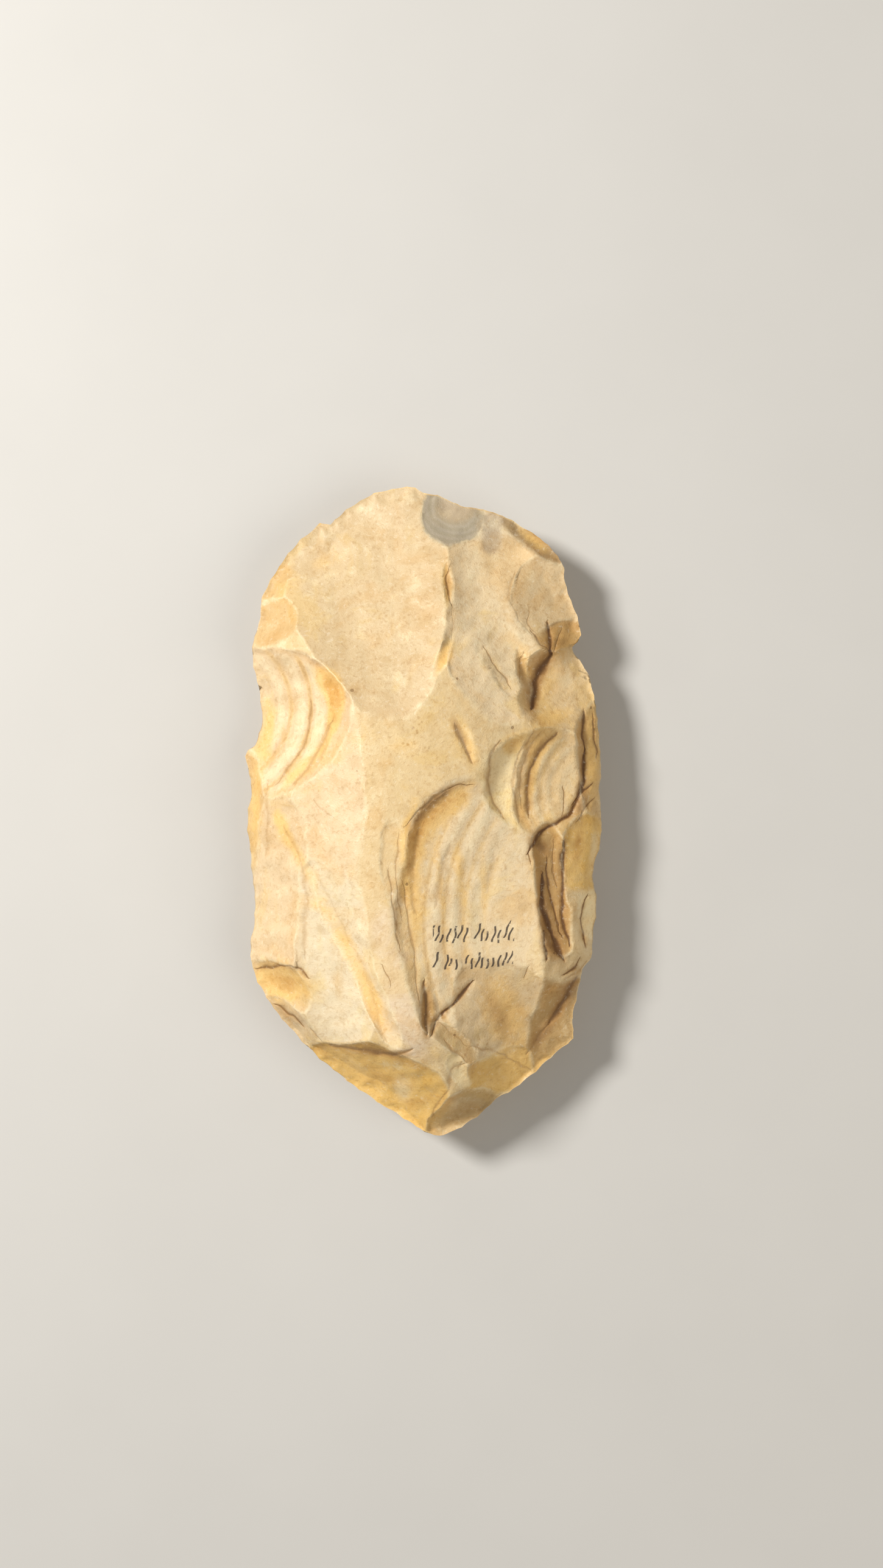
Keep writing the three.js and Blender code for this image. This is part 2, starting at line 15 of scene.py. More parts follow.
import bpy
import numpy as np
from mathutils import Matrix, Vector


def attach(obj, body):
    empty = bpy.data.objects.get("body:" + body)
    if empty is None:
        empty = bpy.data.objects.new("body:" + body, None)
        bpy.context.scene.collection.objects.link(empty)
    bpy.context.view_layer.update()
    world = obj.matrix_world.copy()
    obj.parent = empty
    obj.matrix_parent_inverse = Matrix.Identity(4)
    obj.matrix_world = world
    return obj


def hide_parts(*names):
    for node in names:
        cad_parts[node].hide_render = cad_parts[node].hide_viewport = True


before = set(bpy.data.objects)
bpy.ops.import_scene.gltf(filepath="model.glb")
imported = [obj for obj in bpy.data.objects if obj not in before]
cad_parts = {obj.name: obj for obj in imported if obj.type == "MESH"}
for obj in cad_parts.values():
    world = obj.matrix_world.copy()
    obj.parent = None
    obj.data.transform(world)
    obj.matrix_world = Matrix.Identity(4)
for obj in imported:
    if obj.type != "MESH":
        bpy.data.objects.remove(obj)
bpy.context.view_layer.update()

LOG = logging.getLogger("hand_axe")
NODE = "hand_axe"
BODY = "root"
MILLIMETRE = 0.001
LAMP_AIM = (0.0, 0.0, 0.012)

Array = np.ndarray
Rgb = tuple[float, float, float]


# ---- The stone's recipe: outline, flakes, ripples, cracks and stains ----

class Tone(Enum):
    """Patina tones of single scars, as linear colours."""

    BONE = (0.96, 0.77, 0.44)
    MILK = (0.79, 0.66, 0.45)
    CREAM = (0.74, 0.56, 0.34)
    PALE = (0.82, 0.65, 0.41)
    BEIGE = (0.73, 0.55, 0.30)
    HONEY = (0.80, 0.59, 0.32)
    SAND = (0.66, 0.50, 0.29)
    AMBER = (0.78, 0.505, 0.16)
    OCHRE = (0.65, 0.44, 0.20)
    TAN = (0.60, 0.43, 0.21)
    BROWN = (0.53, 0.345, 0.14)
    UMBER = (0.31, 0.20, 0.09)
    ASH = (0.53, 0.42, 0.29)
    GREY = (0.39, 0.335, 0.24)
    ROSE = (0.77, 0.61, 0.42)


@dataclass(frozen=True)
class Ripple:
    """A shock wave frozen in a scar: an arc about a centre, and how proud and how broad it stands."""

    x: float
    y: float
    radius: float
    height: float
    width: float


@dataclass(frozen=True)
class Flake:
    """One flake struck off the stone, by the size and place of the scar it leaves.

    Attributes:
        name: What the scar is called.
        x: Its middle along the first axis, mm.
        y: Its middle along the second axis, mm.
        run: Direction of its length, degrees.
        long: Its length, mm.
        wide: Its width, mm.
        hollow: How deep its floor sags in the middle, mm.
        taper: How much it widens along its run.
        square: Shape of its rim, from 2 for an oval to 3 and more for a rounded rectangle.
        bend: How far its middle line bows sideways, mm.
        step: How deep it broke off, mm.
        face: Direction of the side where it broke off, degrees.
        spread: How far round its rim the step reaches, degrees.
        wall: Slope of its wall, degrees.
        tone: Its patina.
        ripples: The shock waves that show in it.
    """

    name: str
    x: float
    y: float
    run: float
    long: float
    wide: float
    hollow: float
    taper: float = 0.0
    square: float = 2.2
    bend: float = 0.0
    step: float = 0.0
    face: float = 0.0
    spread: float = 70.0
    wall: float = 66.0
    tone: Tone = Tone.BEIGE
    ripples: tuple[Ripple, ...] = ()


@dataclass(frozen=True)
class Crack:
    """A fissure or fine groove along a few places: its breadth, its depth and how dark it is painted, with
    dirt in a fissure and painted shade where the line stands for a step's shadow.
    """

    route: tuple[tuple[float, float], ...]
    breadth: float
    depth: float
    dirt_and_shade: float


@dataclass(frozen=True)
class Stain:
    """A soft oval spot on the skin: its middle, direction, length, width and strength."""

    x: float
    y: float
    run: float
    long: float
    wide: float
    strength: float


# Places on the edge, anticlockwise from the point; the curve through them is worked out. All sizes in
# these tables are in millimetres and all directions in degrees, anticlockwise from the right.
OUTLINE_STATIONS: tuple[tuple[float, float], ...] = (
    (3, -60), (9.5, -56.8), (13.6, -53.2), (18.5, -50), (24, -45.3), (27.7, -42), (27.6, -38.5),
    (28.8, -33), (29.4, -29.3), (31.1, -27), (31.4, -23), (32.2, -17.5), (31.5, -12), (32.9, -5.5),
    (33, -1), (32.7, 4), (33, 9.5), (32.2, 17.5), (31.2, 23.5), (29, 28), (27.6, 30.2), (29.3, 32.5),
    (28, 37.5), (26.4, 41.5), (25.6, 46), (22, 50.2), (17.5, 53.2), (12.5, 55.4), (7, 56.5),
    (4.4, 57.8), (0, 59), (-3, 60), (-9.2, 58.8), (-14.5, 55.7), (-17.3, 53), (-19.1, 53.4),
    (-25, 47.6), (-29.4, 40.6), (-30.3, 35.5), (-31.8, 29.5), (-30.9, 23.5), (-30.1, 17),
    (-31.5, 12.3), (-33.3, 10.2), (-32.1, 4.5), (-32.9, -1.5), (-32.2, -8.5), (-31.3, -18),
    (-32, -27.5), (-28.8, -34.8), (-22, -43), (-13, -50.9), (-4, -56.6),
)

# The upper face's flakes, in the order they were struck.
UPPER_FLAKES: tuple[Flake, ...] = (
    Flake("broad end", -9, 40, 102, 48, 32, 0.9, taper=0.3, tone=Tone.SAND),
    Flake("right end", 14, 38, 92, 44, 20, 0.7, square=2.6, tone=Tone.PALE),
    Flake("left panel", -17, 4, 92, 38, 13, 0.3, square=3, tone=Tone.CREAM),
    Flake("left flank", -28, -14, 89, 34, 14, 0.9, square=3, tone=Tone.CREAM),
    Flake("left slab", -16, -27, 97, 36, 13, 0.3, square=3.5, tone=Tone.MILK),
    Flake("long diagonal", -11.8, -26, -66, 37, 5.4, 0.6, square=1.9, tone=Tone.MILK),
    Flake("upper left nick", -28.5, 42, 60, 10, 8, 0.5, tone=Tone.OCHRE),
    Flake("lower left nick", -27.5, 34.5, 50, 11, 9, 0.5, tone=Tone.OCHRE),
    Flake("left shell", -26.5, 17, 9, 26, 26, 2.1, square=2.4, taper=-0.3, step=1.2, face=5,
          tone=Tone.CREAM, ripples=(Ripple(-38, 19, 20.2, 0.40, 1.3), Ripple(-38, 19, 16.4, 0.30, 1.2),
                                     Ripple(-38, 19, 12.5, 0.22, 1.3), Ripple(-38, 19, 9.4, 0.12, 1.2))),
    Flake("left edge strip", -32.5, 0, 90, 22, 6, 0.4, square=3, tone=Tone.OCHRE),
    Flake("outer crescent", -4.8, -9, -82, 16, 5.5, 0.3, step=0.35, face=160, tone=Tone.BEIGE),
    Flake("great crescent", 10.5, -19.6, -90, 49, 26, 1.3, square=2.4, bend=1.5, step=1.35, face=160,
          spread=75, wall=44, tone=Tone.PALE,
          ripples=(Ripple(40, -20, 38.5, 0.22, 1.3), Ripple(40, -20, 35, 0.24, 1.4),
                   Ripple(40, -20, 31.3, 0.19, 1.4), Ripple(40, -20, 27.4, 0.12, 1.5))),
    # The wall pocket's dark umber tone is painted shade in this deep pocket.
    Flake("wall pocket", 1.6, -36, -82, 9, 3.6, 0.4, step=0.8, face=175, spread=60, tone=Tone.UMBER),
    Flake("middle groove", 7.6, 11.8, -68, 9, 2.2, 0.3, square=1.5, wall=45, tone=Tone.SAND),
    Flake("upper groove", 3.9, 28, 68, 9, 2.4, 0.2, square=1.5, wall=45, tone=Tone.SAND),
    Flake("fan", 15, 28, -55, 15, 9, 0.7, step=0.4, face=-125, spread=60, tone=Tone.PALE),
    Flake("upper right shell", 23.5, 39.5, 90, 16, 15, 0.9, step=0.25, face=190, tone=Tone.SAND),
    Flake("end retouch", 21, 50.5, -38, 15, 5.4, 0.4, square=2.6, tone=Tone.UMBER),
    Flake("notch", 26, 32, 10, 10, 6, 0.8, step=0.35, face=100, wall=52, tone=Tone.BROWN),
    Flake("deep groove", 27, 22, 100, 16, 15, 1.5, step=2.4, face=180, spread=60, wall=56, tone=Tone.HONEY),
    Flake("lens", 18.4, 25.5, 100, 8, 2.7, 0.5, square=1.7, wall=54, tone=Tone.HONEY),
    Flake("outer ripple shell", 16.6, 5.6, 85, 17.5, 7.2, 0.9, square=2.3, bend=-3.5, step=0.35, face=190,
          wall=34, tone=Tone.BONE),
    Flake("inner ripple shell", 23.6, 5, 83, 20, 13, 1.2, square=2.3, step=1, face=180, spread=80,
          wall=50, tone=Tone.HONEY,
          ripples=(Ripple(32, 3.5, 14.2, 0.22, 0.7), Ripple(32, 3.5, 12.1, 0.24, 0.9),
                   Ripple(32, 3.5, 9.7, 0.18, 1.0), Ripple(32, 3.5, 7.4, 0.14, 1.0))),
    Flake("right edge band", 32, 9, 92, 22, 6.5, 0.3, step=0.6, face=180, tone=Tone.OCHRE),
    Flake("fissured groove", 23.6, -15, -84, 25, 6, 0.9, square=2.6, step=0.7, face=150, tone=Tone.BROWN),
    Flake("right bite", 30, -8, 90, 15, 9, 0.5, step=0.3, face=130, tone=Tone.AMBER),
    Flake("small right bite", 31.5, -19, 90, 9, 6, 0.6, tone=Tone.BONE),
    Flake("lower right shell", 15.5, -38, -62, 25, 18, 0.9, square=2.4, tone=Tone.SAND),
    Flake("right shoulder", 26, -40, 68, 20, 11, 1, step=0.6, face=150, wall=44, tone=Tone.BROWN),
    Flake("left shoulder", -27.2, -32.4, -13, 14, 8.8, 0.9, square=2.6, step=0.8, face=70, tone=Tone.SAND),
    Flake("left shoulder nick", -25.3, -39, -45, 11, 6.4, 0.5, step=0.3, face=45, tone=Tone.SAND),
    Flake("point left", -9, -51, 167, 27, 16, 0.7, square=3, step=1.3, face=100, spread=55,
          tone=Tone.AMBER),
    Flake("point strip", 5.8, -41.5, -45, 10, 4, 0.2, square=2.8, step=0.3, face=45, tone=Tone.TAN),
    Flake("point right", 13.5, -48, 28, 15, 9, 0.5, step=0.1, face=110, tone=Tone.AMBER),
    Flake("point hollow", 7, -55.5, 38, 14, 8, 1.1, step=0.6, face=160, tone=Tone.TAN),
    Flake("point facet", 6.4, -47, -70, 6, 3.4, 0.2, square=2.8, step=0.2, face=100, tone=Tone.BONE),
    Flake("end bulb", 5.6, 55.3, 80, 12.4, 11, 0.7, step=0.3, face=-100, spread=80, wall=50, tone=Tone.GREY),
    Flake("end tongue", 12.6, 51.5, 82, 9, 4, 0.3, wall=50, tone=Tone.ASH),
    Flake("spindle pit", 4.3, 41, 92, 8.4, 2.4, 0.6, square=1.4, wall=54, tone=Tone.TAN),
)

# Each lower flake comes in from the edge: its compass direction, reach, width, hollow and tone.
LOWER_FLAKES: tuple[tuple[float, float, float, float, Tone], ...] = (
    (84, 34, 26, 1.1, Tone.BEIGE),
    (262, 30, 20, 0.9, Tone.OCHRE),
    (128, 27, 22, 1.0, Tone.CREAM),
    (40, 24, 22, 1.0, Tone.SAND),
    (4, 21, 25, 1.2, Tone.BEIGE),
    (172, 22, 26, 1.1, Tone.CREAM),
    (330, 22, 23, 1.0, Tone.SAND),
    (214, 23, 24, 1.1, Tone.BEIGE),
    (300, 20, 18, 0.9, Tone.TAN),
    (236, 18, 15, 0.8, Tone.OCHRE),
)
LOWER_RETOUCH_TONES: tuple[Tone, ...] = (Tone.BEIGE, Tone.SAND, Tone.PALE, Tone.TAN)

# The upper face's fissures and fine grooves, from the left edge to the right and down to the point; a few of
# the dark lines are painted shadows of steps.
CRACKS: tuple[Crack, ...] = (
    Crack(((-20.3, 20), (-21, 14), (-23, 10), (-25.5, 6.5), (-27, 4.8)), 0.5, 0.12, 0.38),
    Crack(((-24.7, 17), (-26, 13), (-28.5, 9.5)), 0.9, 0.10, 0.15),
    Crack(((-16.3, 16.5), (-18.5, 11.5), (-21, 7.5), (-23.5, 5)), 0.9, 0.15, 0.35),
    Crack(((-31, 29.3), (-27, 28.6), (-22, 28.8), (-18.5, 25.8)), 0.6, 0.06, 0.08),
    Crack(((-25, -3), (-23, -6.5), (-21.7, -10), (-21.2, -15), (-21.3, -21), (-21.2, -26.5)), 0.8,
          0.15, 0.22),
    Crack(((-20.5, -9), (-17, -15), (-14.5, -20), (-12, -25), (-9.7, -30), (-8.2, -36), (-6.5, -41)), 0.6,
          0.08, 0.12),
    Crack(((-19.5, 2), (-18, 0.3), (-16, -1)), 0.4, 0.08, 0.20),
    Crack(((-28.6, 5), (-28.4, 0), (-28.7, -8)), 0.7, 0.08, 0.20),
    Crack(((-6, -10), (-5.2, -17), (-4, -25)), 0.45, 0.15, 0.45),
    Crack(((-3.6, -12), (-2.5, -20), (-1.5, -25), (-0.6, -34)), 0.5, 0.15, 0.35),
    Crack(((-7, -27), (-5.7, -31)), 0.35, 0.12, 0.45),
    Crack(((-4.2, -3.8), (-4.6, -8), (-4.6, -13), (-3.9, -19)), 0.4, 0.10, 0.35),
    Crack(((-0.6, -3), (-1.7, -8), (-1.9, -13), (-1.2, -18)), 1.2, 0.12, 0.25),
    Crack(((4.8, -6), (3.2, -11), (2, -17)), 1.2, 0.10, 0.25),
    Crack(((8.3, -6.5), (7, -12)), 1.4, 0.08, 0.15),
    Crack(((12.8, -7), (11.8, -14)), 1.4, 0.07, 0.12),
    # Painted shadow along the step at the great crescent's upper rim.
    Crack(((9, 5), (6, 4.7), (3, 3.2), (0, 0.8), (-3, -2.5)), 0.45, 0.16, 0.50),
    Crack(((4.6, 44.3), (4.2, 41.5), (5.2, 37)), 0.4, 0.20, 0.60),
    Crack(((5.2, 37), (5.3, 33), (5, 31)), 0.5, 0.06, 0.15),
    Crack(((17, 44), (15.8, 41), (15.9, 38.5), (17, 35.5), (18.7, 33.5), (20, 32)), 0.5, 0.10, 0.22),
    Crack(((19.5, 37), (19, 34.5), (20.5, 32.5)), 0.4, 0.10, 0.30),
    Crack(((22.8, 34.8), (23.1, 32), (23.3, 29)), 1.0, 0.35, 0.85),
    Crack(((25.5, 34), (24.6, 31.5), (24, 29.5)), 0.4, 0.20, 0.50),
    Crack(((19.6, 33), (21, 31), (23, 29.3)), 0.5, 0.20, 0.50),
    # Painted shade in the deep groove's valley, beside its wall, with dirt.
    Crack(((23.4, 29.2), (21.5, 25.9), (20.4, 22.8), (19.9, 20), (19.6, 18.6)), 1.8, 0.45, 0.9),
    Crack(((10.9, 29.7), (12.8, 26.8), (14.6, 24.4), (16, 22.3)), 0.5, 0.20, 0.40),
    Crack(((18.3, 29), (17.4, 26.5), (17.3, 23.5)), 0.4, 0.15, 0.40),
    Crack(((5.9, 15.6), (7, 12.8), (8.6, 9)), 1.1, 0.20, 0.55),
    Crack(((13.8, 12.5), (12.2, 10), (11.7, 7), (11.8, 4), (12.8, 1.5), (14.8, -1)), 0.8, 0.12, 0.42),
    Crack(((19.8, 14.2), (17.8, 11.3), (16.6, 8), (16.3, 4.5), (16.8, 1), (17.4, -2)), 0.7, 0.16, 0.34),
    Crack(((21.3, 14.3), (19.3, 11.5), (17.9, 8), (17.5, 4), (17.9, 0.5)), 0.5, 0.10, 0.24),
    Crack(((24, 14.2), (21.3, 11.3), (19.5, 7.5), (18.9, 3.5), (19.1, -1)), 1.2, 0.20, 0.60),
    # Painted shadow under the step that drops to the right-hand scars.
    Crack(((29.6, 11.5), (29.2, 6), (28.1, 2), (26.8, -0.2), (25, -1.7), (22.5, -3), (20.8, -4.4),
           (18.9, -7.6)), 1.1, 0.45, 0.90),
    Crack(((25.5, 4.5), (25.6, 1.5), (25.2, -1)), 0.4, 0.15, 0.50),
    Crack(((29.4, 18.5), (29.2, 15), (29.6, 11.5)), 1.0, 0.35, 0.75),
    Crack(((31.3, 18), (31.6, 14), (32, 10)), 0.5, 0.30, 0.60),
    Crack(((27.2, 1), (28.6, 3), (31, 5.2)), 0.6, 0.30, 0.70),
    Crack(((28, -2), (29.8, 1), (31.6, 2.6)), 0.5, 0.25, 0.60),
    Crack(((21.6, -11), (21.5, -15), (21.7, -18.5), (22.8, -21), (24.2, -24), (25.4, -27.3)), 1.4, 0.50, 1.0),
    Crack(((22.2, -8.5), (22.6, -12), (23.3, -16), (24.6, -20.5), (25.4, -23)), 0.7, 0.30, 0.75),
    Crack(((25.8, -5.5), (25.4, -10), (25.3, -15), (25.6, -20), (26.6, -24.3)), 1.0, 0.40, 0.90),
    Crack(((21.7, -21.5), (22, -24.5), (22.5, -27)), 0.9, 0.35, 0.85),
    Crack(((23.8, -5), (23.6, -9), (24.2, -14)), 0.4, 0.20, 0.50),
    Crack(((18.9, -7.6), (19.6, -9.3)), 0.6, 0.20, 0.60),
    Crack(((30.3, -15.5), (28.9, -18), (29, -21), (29.8, -24.8)), 0.6, 0.35, 0.70),
    Crack(((25.3, -29.8), (27.5, -28.9), (29, -26.8)), 0.6, 0.30, 0.70),
    Crack(((26, -30.5), (28.5, -29.5), (30.3, -27.5)), 0.4, 0.15, 0.30),
    Crack(((28.3, -30.5), (26.5, -33.5), (24.8, -36.5), (23.2, -39)), 1.6, 0.35, 0.70),
    Crack(((23.2, -39), (21, -41.5), (19, -44.8)), 0.8, 0.15, 0.35),
    Crack(((18.3, -30.3), (19.2, -28)), 0.5, 0.15, 0.50),
    Crack(((8.5, -42.5), (13, -43.7), (17, -46), (20, -48)), 0.5, 0.12, 0.30),
    Crack(((9.2, -30.3), (5, -35), (3, -37), (1.3, -39.7)), 0.8, 0.45, 0.95),
    # Painted shade in the wall pocket beside the great crescent's wall.
    Crack(((0.4, -30), (0.3, -34), (0.6, -39.5)), 1.1, 0.50, 0.65),
    Crack(((3, -37.5), (5.5, -40), (8, -42.2)), 0.5, 0.10, 0.30),
    Crack(((3.5, -40.5), (5.5, -42.7), (7.5, -44.8)), 0.5, 0.12, 0.35),
    # Painted shadow under the end step of the slab, in these two lines.
    Crack(((-17, -42.6), (-10, -43.3), (-5, -43.4), (-1.8, -42.3)), 1.2, 0.20, 0.50),
    Crack(((-20.5, -39.5), (-18.5, -41.9)), 0.5, 0.20, 0.40),
    Crack(((-31, -29.3), (-27, -28.2), (-23, -28.2), (-20.7, -30)), 0.6, 0.20, 0.60),
    Crack(((-27.5, -35.5), (-24.5, -37.2), (-22, -39.5)), 0.6, 0.25, 0.60),
    Crack(((8, -45), (5.2, -46.5), (4.8, -50), (3, -52.5), (1.6, -56)), 0.5, 0.15, 0.30),
)

STAINS: tuple[Stain, ...] = (
    Stain(-16.8, 22.5, -60, 7, 3.4, 1.0),
    Stain(-15.8, 18, 85, 7, 2.4, 0.8),
    Stain(-18.5, 11.5, 60, 10, 2, 0.5),
    Stain(-28.7, 14.5, 85, 12, 3, 0.6),
    Stain(-31, 0, 90, 18, 3, 0.5),
    Stain(-26, -2, -70, 6, 3, 0.4),
    Stain(-23.5, -6, -60, 10, 2, 0.4),
    Stain(-15, -22, -62, 30, 3.5, 0.35),
    Stain(-9, -34, -72, 16, 3, 0.45),
    Stain(3.2, 0.4, 38, 13, 4, 0.9),
    Stain(-2, -8, 84, 17, 3.4, 0.9),
    Stain(16.5, 12.3, 30, 5, 3, 0.9),
    Stain(19.5, 6, 78, 14, 2.4, 0.7),
    Stain(22.5, 12.5, 50, 6, 2.4, 0.5),
    Stain(25, 31, 10, 8, 3.4, 0.6),
    Stain(22, 22, 75, 14, 4, 0.4),
    Stain(24, 17, 20, 8, 3, 0.5),
    Stain(18.5, 25.5, 100, 8, 3, 0.5),
    Stain(15, -37, -70, 16, 8, 0.6),
    Stain(14.5, -12, 90, 15, 8, 0.22),
    Stain(23.5, -15, -86, 20, 6, 0.25),
    Stain(28.3, -6, 80, 9, 3, 1.0),
    Stain(31.4, -6, 90, 9, 2.6, -0.5),
    Stain(-14, -48, -35, 16, 6, 0.5),
    Stain(2, -55, 60, 10, 4, 0.6),
    Stain(15, -48, 30, 10, 5, 0.5),
    Stain(22.5, -46.5, 35, 6, 2, 0.4),
    Stain(31, 10, 92, 18, 3, 0.7),
    Stain(-25.5, -31.2, -10, 11, 6, 1.0),
    Stain(21, 50, -38, 9, 3, 0.5),
    Stain(-8, 30, 0, 14, 8, 0.12),
    Stain(-17, 46, 30, 10, 5, 0.2),
    Stain(-25, 41, 60, 6, 4, 0.4),
    Stain(-3, 12, 0, 7, 5, 0.25),
    Stain(4, 28, 70, 7, 2.4, 0.7),
    Stain(4.3, 41, 92, 7, 1.6, 0.6),
    Stain(7.5, 12.6, -68, 9, 3.2, 0.8),
    Stain(-4, -51, 90, 6, 4, -0.5),
    Stain(6.8, -13, -85, 16, 2.2, 0.5),
    Stain(3.2, -13, -84, 16, 1.6, 0.45),
    Stain(10.8, -12, -88, 14, 1.6, 0.35),
    Stain(1, -34, 90, 9, 1.8, 0.6),
    Stain(-1, -20, 82, 15, 2.6, 0.5),
    Stain(-23.5, 6.5, 50, 7, 2.4, 0.5),
)

# Spots in deep hollows and under steps, painted dark brown: a film of soil, and painted shade where the
# shadow falls in them.
SHADE_AND_SOIL_SPOTS: tuple[Stain, ...] = (
    Stain(0.4, 0.3, 48, 8, 1.7, 1.1),
    Stain(3.6, 3.2, 36, 6, 1.6, 0.9),
    Stain(6, 15, -70, 4, 1.4, 0.9),
    Stain(21.3, 25.4, 62, 9, 2.4, 1.1),
    Stain(20.3, 20.5, 80, 6, 1.8, 0.7),
    Stain(25, 31.2, 10, 8, 3.6, 0.7),
    Stain(17.9, 25.8, 98, 6, 1.5, 0.7),
    Stain(21.9, -16, -86, 20, 2.2, 0.7),
    Stain(23.9, -14, -86, 18, 1.4, 0.45),
    Stain(25.6, -14, -88, 20, 1.6, 0.5),
    Stain(23.6, -23.5, -70, 8, 3, 0.8),
    Stain(20.8, -6, -40, 5, 2, 0.8),
    Stain(25.5, -35.2, 58, 13, 2.8, 0.8),
    Stain(21.5, -41.5, 50, 7, 2, 0.5),
    Stain(-6.8, -43.4, 0, 9, 1.5, 0.9),
    Stain(0.9, -35, 88, 9, 1.8, 0.9),
    Stain(2.6, -37.6, 50, 5, 1.6, 0.8),
    Stain(29.3, 9, 88, 16, 2, 0.6),
    Stain(28.4, 0.5, 60, 6, 1.6, 0.7),
    Stain(18.9, 4.5, 84, 13, 1.6, 0.5),
    Stain(13, 6, 84, 11, 1.6, 0.35),
    Stain(13, -36, -68, 12, 3, 0.35),
    Stain(18, -36, -66, 12, 3, 0.3),
    Stain(8.5, -46, -80, 7, 2.4, 0.35),
    Stain(-17.5, -45, -38, 7, 2, 0.3),
    Stain(4.5, 41.5, 92, 5, 1.2, 0.7),
    Stain(22, 50.3, -42, 7, 2, 0.6),
    Stain(15, -38, -65, 12, 5, 0.3),
    Stain(-25.5, -37.6, -38, 6, 1.6, 0.5),
    Stain(7.5, -55.5, 35, 9, 3, 0.3),
)

# Spots where the skin is finely pitted and freckled.
PITTED: tuple[Stain, ...] = (
    Stain(-2.5, 13, 0, 9, 7, 1.0),
    Stain(-11, 3, 90, 12, 5, 0.6),
    Stain(-16, 44, 30, 9, 5, 0.7),
    Stain(-5, 35, 0, 14, 8, 0.4),
    Stain(-6, 25, 0, 14, 7, 0.35),
    Stain(-18, -3, 60, 12, 8, 0.35),
    Stain(-26, -32, 0, 7, 4, 0.8),
    Stain(-14, -49, -30, 14, 6, 0.6),
    Stain(8, -44, 0, 12, 8, 0.6),
    Stain(20, 38, 0, 12, 10, 0.4),
    Stain(27, 6, 90, 20, 8, 0.4),
    Stain(3, 8, 0, 8, 6, 0.4),
    Stain(12, -33, 0, 14, 12, 0.4),
)


# ---- Geometry of the struck stone ----

def smooth_step(low: float, high: float, value: Array) -> Array:
    """A smooth ramp from 0 at low to 1 at high.

    Args:
        low: Where the ramp starts.
        high: Where it ends.
        value: Values to put on the ramp.

    Returns:
        The share of the ramp climbed at each value.
    """
    share = np.clip((value - low) / (high - low), 0.0, 1.0)
    return share * share * (3.0 - 2.0 * share)


def soft_waves(x: Array, y: Array, length: float, seed: int, count: int = 7) -> Array:
    """Smooth irregular waves over the plan, the same on each run.

    Args:
        x: Places along the first axis, mm.
        y: Places along the second axis, mm.
        length: Typical wavelength, mm.
        seed: Which set of waves.
        count: How many plain waves are summed.

    Returns:
        Heights of about -1 to 1.
    """
    draw = np.random.default_rng(seed)
    total = np.zeros_like(x)
    for _ in range(count):
        heading, phase = draw.uniform(0.0, 2.0 * math.pi, 2)
        pitch = 2.0 * math.pi / (length * draw.uniform(0.6, 1.7))
        total += np.sin(pitch * (x * math.cos(heading) + y * math.sin(heading)) + phase)
    return total / math.sqrt(count)


def trace_stretch(before: Array, start: Array, end: Array, after: Array, steps: int) -> list[Array]:
    """Traces one stretch of a smooth curve through places.

    Args:
        before: The place before the stretch.
        start: Where the stretch starts.
        end: Where it ends.
        after: The place after it.
        steps: How many points are traced.

    Returns:
        Evenly spread points from the start, without the end.
    """
    traced = []
    for t in np.arange(steps) / steps:
        straight = (end - before) * t
        curved = (2 * before - 5 * start + 4 * end - after) * t * t
        twisted = (3 * start - before - 3 * end + after) * t ** 3
        traced.append(start + (straight + curved + twisted) / 2)
    return traced


def smooth_route(route: Sequence[tuple[float, float]], steps: int = 4) -> Array:
    """A smooth curve through the places of a route.

    Args:
        route: The places, mm.
        steps: How many stretches lie between two of them.

    Returns:
        Points along the curve, one to a row.
    """
    points = np.array(route, dtype=float)
    padded = np.vstack([2 * points[0] - points[1], points, 2 * points[-1] - points[-2]])
    curve = []
    for before, start, end, after in zip(padded[:-3], padded[1:-2], padded[2:-1], padded[3:]):
        curve += trace_stretch(before, start, end, after, steps)
    return np.array(curve + [points[-1]])


def beside_route(x: Array, y: Array, curve: Array) -> tuple[Array, Array, Array]:
    """Places measured from a curve of straight stretches.

    Args:
        x: Places along the first axis, mm.
        y: Places along the second axis, mm.
        curve: Points of the curve, one to a row.

    Returns:
        The signed distance from the curve, the distance past its nearer end, and the way along the
        curve to its nearer end, all in mm.
    """
    spans = np.hypot(*np.diff(curve, axis=0).T)
    reached = np.concatenate([[0.0], np.cumsum(spans)])
    nearest = np.full(np.shape(x), np.inf)
    signed, past, to_end = np.full((3, *np.shape(x)), 9.0)
    for i, ((ax, ay), (bx, by)) in enumerate(zip(curve[:-1], curve[1:])):
        dx, dy = (bx - ax) / spans[i], (by - ay) / spans[i]
        along = (x - ax) * dx + (y - ay) * dy
        held = np.clip(along, 0.0, spans[i])
        away = np.hypot(x - ax - held * dx, y - ay - held * dy)
        side = np.where(dx * (y - ay) - dy * (x - ax) < 0, -1.0, 1.0)
        closer = away < nearest
        nearest = np.where(closer, away, nearest)
        signed = np.where(closer, away * side, signed)
        past = np.where(closer, np.abs(along - held), past)
        at = reached[i] + held
        to_end = np.where(closer, np.minimum(at, reached[-1] - at), to_end)
    past = np.where(to_end > 0.01, 0.0, past)
    return signed, past, to_end


def distance_to_route(x: Array, y: Array, route: Sequence[tuple[float, float]]) -> Array:
    """Distance of each place from a line of straight stretches, mm."""
    return np.abs(beside_route(x, y, np.array(route, dtype=float))[0])


